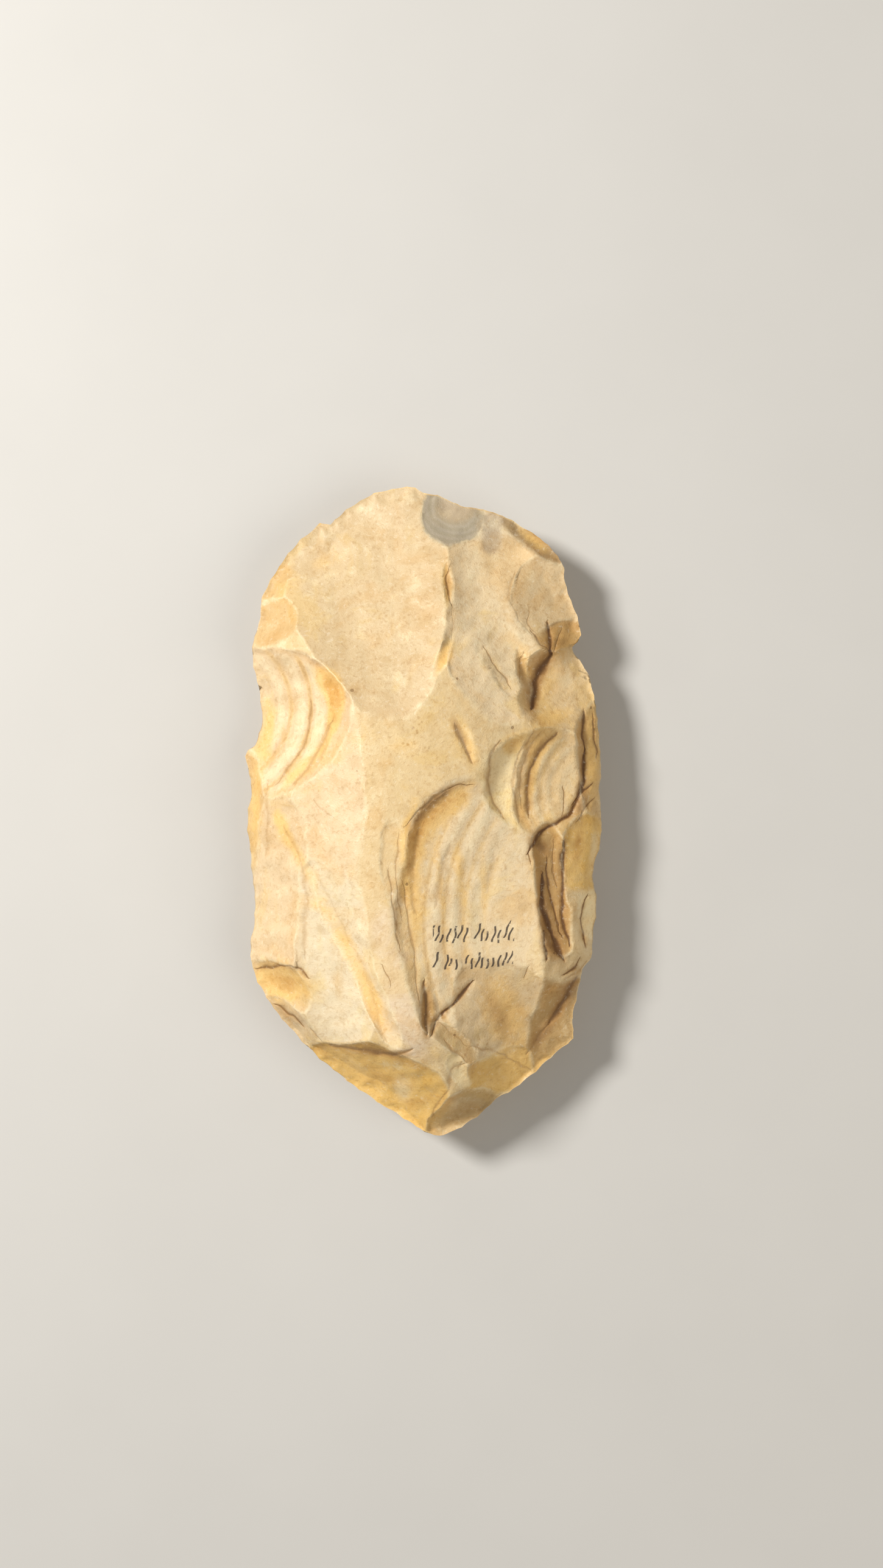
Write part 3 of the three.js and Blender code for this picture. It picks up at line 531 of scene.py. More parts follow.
@dataclass
class CrackSheet:
    """Cracks that lie well apart, so that each place has at most one of them near it."""

    curves: list[Array]
    cracks: list[Crack]

    CLEAR = 2.9

    def has_room(self, curve: Array) -> bool:
        """Whether a curve stays clear of those already on the sheet.

        Args:
            curve: Points of the curve, one to a row.

        Returns:
            True where there is room for it.
        """
        for other in self.curves:
            gaps = np.hypot(*(curve[:, None] - other[None]).transpose(2, 0, 1))
            if gaps.min() < self.CLEAR:
                return False
        return True

    def gap_dirt_and_shade(self, x: Array, y: Array) -> tuple[Array, Array, Array]:
        """Reads the sheet over places.

        Args:
            x: Places along the first axis, mm.
            y: Places along the second axis, mm.

        Returns:
            The signed distance from the nearest crack in half breadths, its dirt and painted shade there, and
            the depth that it carves, mm.
        """
        gap, dirt_and_shade, carved = np.full(np.shape(x), 20.0), np.zeros(np.shape(x)), np.zeros(np.shape(x))
        nearest = np.full(np.shape(x), 2.4)
        for curve, crack in zip(self.curves, self.cracks):
            low, high = curve.min(axis=0) - 2.4, curve.max(axis=0) + 2.4
            near = np.flatnonzero((x > low[0]) & (x < high[0]) & (y > low[1]) & (y < high[1]))
            if not len(near):
                continue
            signed, past, to_end = beside_route(x[near], y[near], curve)
            closer = np.abs(signed) < nearest[near]
            at = near[closer]
            signed, past, to_end = signed[closer], past[closer], to_end[closer]
            nearest[at] = np.abs(signed)
            narrowing = 0.4 + 0.6 * smooth_step(0.0, 2.5, to_end)
            gap[at] = signed / (crack.breadth / 2 * narrowing)
            alone = 1 - smooth_step(0.9, 1.35, np.abs(signed))
            dirt_and_shade[at] = crack.dirt_and_shade * alone * (1 - smooth_step(0.0, 0.5, past))
            broad = np.maximum(crack.breadth, 0.8 + 0.9 * crack.depth) / 2 * narrowing
            carved[at] = crack.depth * alone * np.exp(-(signed / broad) ** 2 - (past / 0.4) ** 2)
        return gap, dirt_and_shade, carved


def lay_out_cracks(cracks: Sequence[Crack]) -> list[CrackSheet]:
    """Shares the cracks out over sheets.

    Args:
        cracks: All the cracks.

    Returns:
        As few sheets as a first fit needs.
    """
    sheets: list[CrackSheet] = []
    for crack in cracks:
        curve = smooth_route(crack.route)
        for sheet in sheets:
            if sheet.has_room(curve):
                break
        else:
            sheet = CrackSheet([], [])
            sheets.append(sheet)
        sheet.curves.append(curve)
        sheet.cracks.append(crack)
    return sheets


class Outline:
    """The axe's edge in plan: a closed smooth curve through its stations."""

    CHUNK = 20000

    def __init__(self, stations: Sequence[tuple[float, float]], spacing: float) -> None:
        """Traces the curve.

        Args:
            stations: Corners of the curve, anticlockwise, mm.
            spacing: About how far apart the traced points lie, mm.
        """
        points = np.array(stations, dtype=float)
        traced = []
        for i, start in enumerate(points):
            before, end, after = points[i - 1], points[(i + 1) % len(points)], points[(i + 2) % len(points)]
            steps = max(1, round(float(np.hypot(*(end - start))) / spacing))
            traced += trace_stretch(before, start, end, after, steps)
        self.points = np.array(traced)
        self.runs = np.roll(self.points, -1, axis=0) - self.points
        self.spans = np.hypot(*self.runs.T)
        self.starts_at = np.concatenate([[0.0], np.cumsum(self.spans)[:-1]])
        self.length = float(self.spans.sum())

    @property
    def middle(self) -> Array:
        """Middle of the outline's box, mm."""
        return (self.points.min(axis=0) + self.points.max(axis=0)) / 2

    def measure(self, x: Array, y: Array) -> tuple[Array, Array]:
        """Depth inside the edge and place along it.

        Args:
            x: Places along the first axis, mm.
            y: Places along the second axis, mm.

        Returns:
            The distance from the edge, positive inside, and the way round the edge to the nearest
            point of it, both in mm.
        """
        flat = np.stack([np.ravel(x), np.ravel(y)], axis=1)
        depth = np.empty(len(flat))
        round_edge = np.empty(len(flat))
        run = self.runs
        for start in range(0, len(flat), self.CHUNK):
            place = flat[start:start + self.CHUNK, None, :]
            away = place - self.points[None]
            along = np.clip((away * run).sum(axis=2) / (self.spans ** 2), 0.0, 1.0)
            gap = away - along[..., None] * run
            distance = np.hypot(gap[..., 0], gap[..., 1])
            nearest = distance.argmin(axis=1)
            row = np.arange(len(nearest))
            cross = run[nearest, 0] * away[row, nearest, 1] - run[nearest, 1] * away[row, nearest, 0]
            side = np.where(cross < 0, -1.0, 1.0)
            depth[start:start + self.CHUNK] = distance[row, nearest] * side
            reached = self.starts_at[nearest] + along[row, nearest] * self.spans[nearest]
            round_edge[start:start + self.CHUNK] = reached
        return depth.reshape(np.shape(x)), round_edge.reshape(np.shape(x))


class Scar:
    """One scar: its rim in plan, and the floor that hangs from the surface it was struck off."""

    RIM_SAMPLES = 64

    def __init__(self, flake: Flake) -> None:
        """Takes the scar's size and place from its flake.

        Args:
            flake: The flake struck off.
        """
        self.flake = flake
        self.cos = math.cos(math.radians(flake.run))
        self.sin = math.sin(math.radians(flake.run))
        self.wall_rise = math.tan(math.radians(flake.wall))
        self.weights = np.zeros(7)

    def half_width(self, u: Array) -> Array:
        """Half the width at shares u of the half length."""
        return self.flake.wide / 2 * np.clip(1 + self.flake.taper * u, 0.25, 3.0)

    def curve(self, u: Array) -> Array:
        """Sideways shift of the middle line at shares u of the half length."""
        return self.flake.bend * (np.minimum(u * u, 2.25) - 0.5)

    def radius(self, u: Array, v: Array) -> Array:
        """Size of the rounded rectangle through a place: 1 on the rim."""
        power = self.flake.square
        return (np.abs(u) ** power + np.abs(v) ** power) ** (1 / power)

    @staticmethod
    def floor_terms(u: Array, v: Array) -> Array:
        """Terms of the smooth floor: level, two tilts, two twists and two finer waves."""
        return np.stack([np.ones_like(u), u, v, u * u - v * v, u * v, u ** 3 - 3 * u * v * v,
                         3 * u * u * v - v ** 3])

    def hang_from(self, older: Callable[[Array, Array], Array]) -> None:
        """Hangs the floor from the older surface, lowered where the flake broke off in a step.

        Args:
            older: Gives the height of the older surface over places, mm.
        """
        flake = self.flake
        turn = (np.arange(self.RIM_SAMPLES) + 0.5) / self.RIM_SAMPLES * 2 * math.pi
        reach = 1 / self.radius(np.cos(turn), np.sin(turn))
        u, v = np.cos(turn) * reach, np.sin(turn) * reach
        along = u * flake.long / 2
        across = v * self.half_width(u) + self.curve(u)
        x = flake.x + along * self.cos - across * self.sin
        y = flake.y + along * self.sin + across * self.cos
        facing = np.degrees(np.arctan2(y - flake.y, x - flake.x)) - flake.face
        away = np.abs(facing - 360 * np.round(facing / 360))
        heights = older(x, y) - flake.step * np.clip(1.5 - away / flake.spread, 0.0, 1.0)
        self.weights = np.linalg.lstsq(self.floor_terms(u, v).T, heights, rcond=None)[0]

    def surface(self, x: Array, y: Array) -> tuple[Array, Array]:
        """The scar's own surface: its floor within the rim and the rising wall beyond it.

        Args:
            x: Places along the first axis, mm.
            y: Places along the second axis, mm.

        Returns:
            Heights, and distances inside the rim, both in mm.
        """
        flake = self.flake
        dx, dy = x - flake.x, y - flake.y
        u = (dx * self.cos + dy * self.sin) / (flake.long / 2)
        half_width = self.half_width(u)
        v = (dy * self.cos - dx * self.sin - self.curve(u)) / half_width
        radius = self.radius(u, v)
        inward = 1 / np.maximum(radius, 1.0)
        floor = np.tensordot(self.weights, self.floor_terms(u * inward, v * inward), axes=1)
        sag = flake.hollow * (1 - (radius * inward) ** 2)
        size = np.minimum(flake.long / 2, half_width)
        height = floor - sag + self.wall_rise * np.maximum(radius - 1, 0.0) * size
        inside = (1 - radius) * size
        for ripple in flake.ripples:
            out = (np.hypot(x - ripple.x, y - ripple.y) - ripple.radius) / ripple.width
            crest = np.where(out > 0, np.exp(-out * out * 2.5), np.exp(-out * out * 0.6))
            height = height + ripple.height * crest * smooth_step(0.0, 2.0, inside)
        return height, inside

    def ripple_light_and_stain(self, x: Array, y: Array) -> Array:
        """Which way the ripples lean, painted as light and stain: near 1 on a slope that faces the light,
        painted lighter as highlight and wear, near -1 at the foot, painted darker as shade and stain.

        Args:
            x: Places along the first axis, mm.
            y: Places along the second axis, mm.

        Returns:
            The lean at each place, from -1 to 1.
        """
        total = np.zeros_like(x)
        for ripple in self.flake.ripples:
            out = (np.hypot(x - ripple.x, y - ripple.y) - ripple.radius) / ripple.width
            lit_worn_slope = np.exp(-((out + 0.5) / 0.8) ** 2)
            shaded_foot = np.exp(-((out - 1.05) / 0.45) ** 2)
            total += ripple.height / 0.3 * (lit_worn_slope - 1.3 * shaded_foot)
        return np.clip(total, -1.0, 1.0)


@dataclass
class Sample:
    """What a struck face shows over a set of places."""

    height: Array
    owner: Array
    ridge: Array
    inside: Array
    drop: Array


class StruckFace:
    """One side of the stone: a blank and the scars struck off it, as heights from the edge plane."""

    CREST = ((-6.0, 20.0), (-4.0, -36.0))
    CREST_MIDDLE = 4.0
    HALF_LENGTH = 60.0
    END_FALL = 0.2
    SWELL_POWER = 2.2

    def __init__(self, outline: Outline, swell: float) -> None:
        """Starts from the unstruck blank.

        Args:
            outline: The edge in plan.
            swell: The blank's rise above the edge plane, mm.
        """
        self.outline = outline
        self.swell = swell
        self.scars: list[Scar] = []

    def blank(self, x: Array, y: Array) -> Array:
        """The blank's height, falling from the crest line to nothing at the edge.

        Args:
            x: Places along the first axis, mm.
            y: Places along the second axis, mm.

        Returns:
            The height at each place, mm.
        """
        (ax, ay), (bx, by) = self.CREST
        dx, dy = bx - ax, by - ay
        along = np.clip(((x - ax) * dx + (y - ay) * dy) / (dx * dx + dy * dy), 0.0, 1.0)
        from_crest = np.hypot(x - ax - along * dx, y - ay - along * dy)
        depth, _ = self.outline.measure(x, y)
        reach = np.maximum(from_crest + depth, 0.3 * from_crest + 1e-6)
        ends = 1 - self.END_FALL * ((y - self.CREST_MIDDLE) / self.HALF_LENGTH) ** 2
        return self.swell * (1 - (from_crest / reach) ** self.SWELL_POWER) * ends

    def strike(self, flake: Flake) -> None:
        """Strikes one flake off the surface as it stands.

        Args:
            flake: The flake to strike.
        """
        scar = Scar(flake)
        scar.hang_from(lambda x, y: self.sample(x, y).height)
        self.scars.append(scar)

    def sample(self, x: Array, y: Array) -> Sample:
        """Reads the surface over a set of places.

        Args:
            x: Places along the first axis, mm.
            y: Places along the second axis, mm.

        Returns:
            The height; the number of the scar that shows, or -1 for the blank; how far above it the
            next surface lies; how far the place is inside the scar's rim; and how much the scar took
            off there.
        """
        height = self.blank(x, y)
        owner = np.full(np.shape(x), -1)
        next_up = np.full(np.shape(x), np.inf)
        inside = np.full(np.shape(x), 9.0)
        drop = np.zeros(np.shape(x))
        for i, scar in enumerate(self.scars):
            cut, depth = scar.surface(x, y)
            hit = cut < height
            next_up = np.where(hit, height, np.minimum(next_up, cut))
            drop = np.where(hit, height - cut, drop)
            inside = np.where(hit, depth, inside)
            owner = np.where(hit, i, owner)
            height = np.where(hit, cut, height)
        return Sample(height, owner, next_up - height, inside, drop)


@dataclass(frozen=True)
class RestingSpot:
    """The planed spot that the axe lies on."""

    x: float = -1.0
    y: float = 1.0
    long: float = 38.0
    wide: float = 23.0
    depth: float = 11.0
    skirt: float = 20.0

    def outside(self, x: Array, y: Array) -> Array:
        """How far places lie outside the spot, nearly.

        Args:
            x: Places along the first axis, mm.
            y: Places along the second axis, mm.

        Returns:
            The distance, mm, and 0 within the spot.
        """
        dx, dy = x - self.x, y - self.y
        radius = np.maximum(np.hypot(dx / (self.wide / 2), dy / (self.long / 2)), 1.0)
        return np.hypot(dx, dy) * (1 - 1 / radius)


@dataclass(frozen=True)
class EdgeRetouch:
    """Small lobes knocked off the upper side of the edge, in a seeded run all the way round."""

    seed: int = 11
    narrowest: float = 1.8
    widest: float = 4.8
    bite: float = 0.36

    def lobes(self, length: float) -> list[tuple[float, float, float, float]]:
        """Lays the lobes out along the edge.

        Args:
            length: Length of the edge, mm.

        Returns:
            The place along the edge, width, reach and depth of each lobe, mm.
        """
        draw = np.random.default_rng(self.seed)
        placed = []
        at = 0.0
        while at < length:
            wide = float(draw.uniform(self.narrowest, self.widest))
            reach = wide * float(draw.uniform(0.35, 0.8))
            placed.append((at, wide, reach, reach * float(draw.uniform(0.08, 0.2))))
            at += wide * float(draw.uniform(0.5, 1.1))
        return placed

    def knock(self, outline: Outline, depth: Array, along: Array) -> tuple[Array, Array]:
        """How deep the lobes cut and how far they nibble the edge back.

        Args:
            outline: The edge in plan.
            depth: Depth of the places inside the edge, mm.
            along: Their way round the edge, mm.

        Returns:
            The cut and the nibble at each place, mm.
        """
        cut = np.zeros_like(depth)
        nibble = np.zeros_like(depth)
        for at, wide, reach, deep in self.lobes(outline.length):
            gap = along - at
            gap = gap - outline.length * np.round(gap / outline.length)
            across = (gap / (wide / 2)) ** 2
            lobe = 1 - across - (np.maximum(depth, 0.0) / reach) ** 2
            cut = np.maximum(cut, deep * np.maximum(lobe, 0.0))
            nibble = np.maximum(nibble, self.bite * wide / self.widest * np.maximum(1 - across, 0.0))
        return cut, nibble


class Stone:
    """The whole stone as two heights over the plan, drawn together to a sharp edge."""

    OUTLINE_SPACING = 1.58
    UPPER_SWELL = 15.6
    LOWER_SWELL = 12.2
    THINNEST_EDGE = 12.0
    BLUNTEST_EDGE = 52.0
    RETOUCH_COUNT = 17
    RETOUCH_SWING = 0.3
    WANDER, FINE_WANDER = 0.36, 0.09
    WOBBLE, FINE_WOBBLE = 0.16, 0.05
    SWAY, FINE_SWAY = 0.04, 0.006
    LEAST_SLOPE = 0.14

    def __init__(self) -> None:
        """Strikes both faces."""
        self.outline = Outline(OUTLINE_STATIONS, self.OUTLINE_SPACING)
        self.resting = RestingSpot()
        self.retouch = EdgeRetouch()
        self.sheets = lay_out_cracks(CRACKS)
        self.upper = StruckFace(self.outline, self.UPPER_SWELL)
        self.lower = StruckFace(self.outline, self.LOWER_SWELL)
        for flake in UPPER_FLAKES:
            self.upper.strike(flake)
        for flake in self.lower_flakes():
            self.lower.strike(flake)

    def lower_flakes(self) -> list[Flake]:
        """The lower face's flakes: the long ones, then a round of edge retouch.

        Returns:
            The flakes, in the order they are struck.
        """
        rows = list(LOWER_FLAKES)
        for i in range(self.RETOUCH_COUNT):
            turn = self.RETOUCH_SWING * math.sin(i * 2.4)
            reach = 9 * (1 + self.RETOUCH_SWING * math.cos(i * 1.7))
            source = 11 + (i + turn) * 360 / self.RETOUCH_COUNT
            tone = LOWER_RETOUCH_TONES[i % len(LOWER_RETOUCH_TONES)]
            rows.append((source, reach, 13 * (1 + turn), 0.5, tone))
        return [self.lower_flake(*row) for row in rows]

    def lower_flake(self, source: float, reach: float, wide: float, hollow: float, tone: Tone) -> Flake:
        """Places one lower flake.

        Args:
            source: Compass direction it comes in from, degrees.
            reach: How far it reaches in, mm.
            wide: Its width, mm.
            hollow: Its depth below the rim, mm.
            tone: Its patina.

        Returns:
            The flake in its place.
        """
        heading = np.array([math.cos(math.radians(source)), math.sin(math.radians(source))])
        steps = np.arange(0.0, 80.0, 0.25)
        depth, _ = self.outline.measure(steps * heading[0], steps * heading[1])
        middle = float(steps[np.argmax(depth <= 0)]) - reach / 2 + 1
        x, y = (heading * middle).tolist()
        return Flake("lower", x, y, source, reach, wide, hollow, tone=tone)

    def wander(self, x: Array, y: Array, depth: Array) -> tuple[Array, Array]:
        """Shifts places a little, so that the rims of the scars wander as broken stone does.

        Args:
            x: Places along the first axis, mm.
            y: Places along the second axis, mm.
            depth: Their depth inside the edge, mm.

        Returns:
            The shifted places.
        """
        hold = smooth_step(0.0, 4.0, depth)
        dx = self.WANDER * soft_waves(x, y, 10, 3) + self.FINE_WANDER * soft_waves(x, y, 3.2, 5)
        dy = self.WANDER * soft_waves(x, y, 10, 4) + self.FINE_WANDER * soft_waves(x, y, 3.2, 6)
        return x + hold * dx, y + hold * dy

    def top_sample(self, x: Array, y: Array) -> Sample:
        """Reads the upper face with its wandering rims."""
        depth, _ = self.outline.measure(x, y)
        return self.upper.sample(*self.wander(x, y, depth))

    def bottom_sample(self, x: Array, y: Array) -> Sample:
        """Reads the lower face with its wandering rims."""
        depth, _ = self.outline.measure(x, y)
        return self.lower.sample(*self.wander(x, y, depth))

    def crack_sheets(self, x: Array, y: Array) -> list[tuple[Array, Array, Array]]:
        """Reads every sheet of cracks over places, with a little wobble.

        Args:
            x: Places along the first axis, mm.
            y: Places along the second axis, mm.

        Returns:
            The gap, dirt and carved depth of each sheet.
        """
        dx = self.WOBBLE * soft_waves(x, y, 4, 21) + self.FINE_WOBBLE * soft_waves(x, y, 1.2, 23)
        dy = self.WOBBLE * soft_waves(x, y, 4, 22) + self.FINE_WOBBLE * soft_waves(x, y, 1.2, 24)
        return [sheet.gap_dirt_and_shade(x + dx, y + dy) for sheet in self.sheets]

    def crack_depth(self, x: Array, y: Array) -> Array:
        """Depth of the cracks of the upper face.

        Args:
            x: Places along the first axis, mm.
            y: Places along the second axis, mm.

        Returns:
            The depth at each place, mm.
        """
        flat_x, flat_y = np.ravel(x), np.ravel(y)
        carved = [carve for _, _, carve in self.crack_sheets(flat_x, flat_y)]
        return np.max(carved, axis=0).reshape(np.shape(x))

    @staticmethod
    def spot_share(spots: Sequence[Stain], x: Array, y: Array) -> Array:
        """Strength of soft spots at each place of the upper face; negative is cleaner stone.

        Args:
            spots: The spots to sum.
            x: Places along the first axis, mm.
            y: Places along the second axis, mm.

        Returns:
            The strength, from -1 to 1.
        """
        total = np.zeros_like(x)
        for stain in spots:
            cos, sin = math.cos(math.radians(stain.run)), math.sin(math.radians(stain.run))
            dx, dy = x - stain.x, y - stain.y
            along = (dx * cos + dy * sin) / (stain.long / 2)
            across = (dy * cos - dx * sin) / (stain.wide / 2)
            total += stain.strength * np.exp(-(along ** 2 + across ** 2) * 0.8)
        return np.clip(total, -1.0, 1.0)

    def heights(self, x: Array, y: Array) -> tuple[Array, Array]:
        """Heights of the upper and lower surfaces over places.

        Args:
            x: Places along the first axis, mm.
            y: Places along the second axis, mm.

        Returns:
            The upper and the lower height above the edge plane, mm.
        """
        depth, along = self.outline.measure(x, y)
        inside = np.maximum(depth, 0.0)
        top = self.top_sample(x, y).height
        outside = self.resting.outside(x, y)
        planed = self.resting.depth - outside * math.tan(math.radians(self.resting.skirt))
        bottom = -np.maximum(np.minimum(self.bottom_sample(x, y).height, self.resting.depth), planed)
        least = inside * math.tan(math.radians(self.THINNEST_EDGE))
        most = inside * math.tan(math.radians(self.BLUNTEST_EDGE))
        half = np.minimum(most, np.maximum(least, (top - bottom) / 2))
        middle = (top + bottom) / 2
        cut, _ = self.retouch.knock(self.outline, depth, along)
        fade = smooth_step(0.0, 2.5, inside)
        sway = self.SWAY * soft_waves(x, y, 7, 31) + self.FINE_SWAY * soft_waves(x, y, 1.9, 32, 9)
        carved = middle + half - cut - fade * self.crack_depth(x, y) + fade * sway
        under = middle - half
        under = under + fade * smooth_step(0.0, 3.0, outside) * np.maximum(sway, -self.SWAY)
        return np.maximum(carved, under + inside * self.LEAST_SLOPE), under


# ---- The mesh ----

@dataclass
class HandAxe:
    """The stone's fine mesh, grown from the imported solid's own faces."""

    stone: Stone
    cuts: int = 3
    slide_limit: float = 0.42
    firm_rim: float = 1.2
    smooth_angle: float = 44.0

    EDGE_WIDTH = 0.002
    SPINE = ((-5.0, -21.0), (-2.8, -41.0))
    SPINE_BREADTH = 4.2
    SLIDE_HALVINGS = 8

    def build(self) -> bpy.types.Object:
        """Builds the piece.

        Returns:
            The finished object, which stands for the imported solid.
        """
        piece = self.copy_solid()
        mesh = piece.data
        points = np.empty(len(mesh.vertices) * 3)
        mesh.vertices.foreach_get("co", points)
        points = points.reshape(-1, 3)
        normals = np.empty(len(mesh.vertices) * 3)
        mesh.vertices.foreach_get("normal", normals)
        upward = normals.reshape(-1, 3)[:, 2] > 0
        middle = self.stone.outline.middle
        x = points[:, 0] / MILLIMETRE + middle[0]
        y = points[:, 1] / MILLIMETRE + middle[1]
        depth, _ = self.stone.outline.measure(x, y)
        on_edge = depth < self.EDGE_WIDTH
        x, y = self.slide_to_ridges(mesh, x, y, upward, depth < self.firm_rim)
        top, bottom = self.stone.heights(x, y)
        height = np.where(on_edge, (top + bottom) / 2, np.where(upward, top, bottom))
        self.paint(mesh, x, y, upward)
        x, y = self.nibble_edge(x, y)
        points[:, 0] = (x - middle[0]) * MILLIMETRE
        points[:, 1] = (y - middle[1]) * MILLIMETRE
        points[:, 2] = (height + self.stone.resting.depth) * MILLIMETRE
        mesh.vertices.foreach_set("co", points.ravel())
        mesh.update()
        self.smooth(piece)
        LOG.info("%s: %d triangles", piece.name, len(mesh.polygons))
        return piece

    def copy_solid(self) -> bpy.types.Object:
        """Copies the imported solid, closes it and divides its faces.

        Returns:
            The copy, with no material.
        """
        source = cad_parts[NODE]
        piece = source.copy()
        piece.data = source.data.copy()
        piece.name = "struck_stone"
        piece.data.name = "struck_stone"
        bpy.context.scene.collection.objects.link(piece)
        bpy.ops.object.select_all(action="DESELECT")
        piece.select_set(True)
        bpy.context.view_layer.objects.active = piece
        bpy.ops.object.mode_set(mode="EDIT")
        bpy.ops.mesh.select_all(action="SELECT")
        bpy.ops.mesh.remove_doubles(threshold=1e-6)
        bpy.ops.mesh.select_all(action="SELECT")
        bpy.ops.mesh.subdivide(number_cuts=self.cuts, smoothness=0.0)
        bpy.ops.object.mode_set(mode="OBJECT")
        piece.data.materials.clear()
        return piece

    def slide_to_ridges(self, mesh: bpy.types.Mesh, x: Array, y: Array, upward: Array,
                        firm: Array) -> tuple[Array, Array]:
        """Slides points along the mesh's edges to where two scars meet, so that ridges come out crisp.

        Args:
            mesh: The divided mesh.
            x: Its points along the first axis, mm.
            y: Its points along the second axis, mm.
            upward: Which points are on the upper face.
            firm: Which points lie by the stone's edge, and stay.

        Returns:
            The points after sliding.
        """
        pairs = np.empty(len(mesh.edges) * 2, dtype=np.int64)
        mesh.edges.foreach_get("vertices", pairs)
        pairs = pairs.reshape(-1, 2)
        new_x, new_y = x.copy(), y.copy()
        for side, read in ((True, self.stone.top_sample), (False, self.stone.bottom_sample)):
            free = (upward == side) & ~firm
            owner = read(x, y).owner
            both = free[pairs[:, 0]] & free[pairs[:, 1]]
            crossed = pairs[both & (owner[pairs[:, 0]] != owner[pairs[:, 1]])]
            near, far = crossed[:, 0], crossed[:, 1]
            low, high = np.zeros(len(near)), np.ones(len(near))
            for _ in range(self.SLIDE_HALVINGS):
                t = (low + high) / 2
                there = read(x[near] + t * (x[far] - x[near]), y[near] + t * (y[far] - y[near])).owner
                same = there == owner[near]
                low = np.where(same, t, low)
                high = np.where(same, high, t)
            span = np.hypot(x[far] - x[near], y[far] - y[near])
            ends = np.concatenate([near, far])
            others = np.concatenate([far, near])
            share = np.concatenate([low, 1 - high])
            move = share * np.concatenate([span, span])
            order = np.argsort(-move)
            order = order[share[order] < self.slide_limit]
            new_x[ends[order]] = x[ends[order]] + share[order] * (x[others[order]] - x[ends[order]])
            new_y[ends[order]] = y[ends[order]] + share[order] * (y[others[order]] - y[ends[order]])
        return new_x, new_y

    def nibble_edge(self, x: Array, y: Array) -> tuple[Array, Array]:
        """Moves the points by the edge inward, where small lobes were knocked off it.

        Args:
            x: Points along the first axis, mm.
            y: Points along the second axis, mm.

        Returns:
            The moved points.
        """
        outline = self.stone.outline
        depth, along = outline.measure(x, y)
        _, nibble = self.stone.retouch.knock(outline, depth, along)
        at = np.searchsorted(outline.starts_at, along, side="right") - 1
        run = outline.runs[at] / outline.spans[at][:, None]
        move = nibble * np.exp(-np.maximum(depth, 0.0) / 1.2)
        return x - run[:, 1] * move, y + run[:, 0] * move

    def paint(self, mesh: bpy.types.Mesh, x: Array, y: Array, upward: Array) -> None:
        """Writes what the patina needs to know of each spot as attributes of the mesh.

        Args:
            mesh: The divided mesh.
            x: Its points along the first axis, mm.
            y: Its points along the second axis, mm.
            upward: Which points are on the upper face.
        """
        stone = self.stone
        top, bottom = stone.top_sample(x, y), stone.bottom_sample(x, y)
        tones, sharp = self.blended_tones(x, y, upward)
        colour = mesh.attributes.new("tone", "FLOAT_COLOR", "POINT")
        colour.data.foreach_set("color", np.concatenate([tones, np.ones((len(x), 1))], axis=1).ravel())
        inside = np.where(upward, top.inside, bottom.inside)
        drop = np.where(upward, top.drop, bottom.drop)
        gap = np.where(upward, top.ridge, bottom.ridge)
        under_stain = np.clip(0.5 * soft_waves(x, y, 16, 41) + 0.1, 0.0, 1.0)
        bulb = (top.owner == [flake.name for flake in UPPER_FLAKES].index("end bulb")) & upward
        values = {
            # Foot and wall: painted shade at the foot of steps and on their walls, with the iron and soil
            # there.
            "foot_shade_and_deposit": np.clip(drop / 1.5, 0.0, 1.0) * np.exp(-(np.maximum(inside, 0.0) / 0.9) ** 2),
            "wall": smooth_step(0.05, 0.5, -inside) * np.clip(drop, 0.0, 1.0),
            # Ridges: painted highlight, with their wear.
            "arris_wear_and_highlight": np.exp(-(gap / 0.26) ** 2) * smooth_step(0.05, 0.22, sharp),
            "stain": np.where(upward, stone.spot_share(STAINS, x, y), under_stain),
            # Hollows: painted shade, with soil.
            "hollow_shade_and_soil": np.where(upward, stone.spot_share(SHADE_AND_SOIL_SPOTS, x, y), 0.0),
            "pitted": np.where(upward, stone.spot_share(PITTED, x, y), 0.3),
            # Ripples: painted light and shade, with stain.
            "crest": self.ripple_light_and_stain(top, x, y, upward),
            "bulb": bulb.astype(float),
        }
        for i, (crack_gap, dirt_and_shade, _) in enumerate(stone.crack_sheets(x, y)):
            values[f"crack_gap_{i}"] = crack_gap
            values[f"crack_dirt_{i}"] = np.where(upward, dirt_and_shade, 0.0)
        for name, value in values.items():
            mesh.attributes.new(name, "FLOAT", "POINT").data.foreach_set("value", value.astype(np.float32))

    def ripple_light_and_stain(self, top: Sample, x: Array, y: Array, upward: Array) -> Array:
        """The lean of the ripples over the upper face, which paints their lit slopes lighter and their feet
        darker.

        Args:
            top: What the upper face shows at the places.
            x: Places along the first axis, mm.
            y: Places along the second axis, mm.
            upward: Which places are on the upper face.

        Returns:
            The lean, from -1 to 1, and 0 where there are no ripples.
        """
        lean = np.zeros(len(x))
        for i, scar in enumerate(self.stone.upper.scars):
            own = np.flatnonzero((top.owner == i) & upward)
            if scar.flake.ripples and len(own):
                lean[own] = scar.ripple_light_and_stain(x[own], y[own]) * smooth_step(0.0, 1.5, top.inside[own])
        return lean

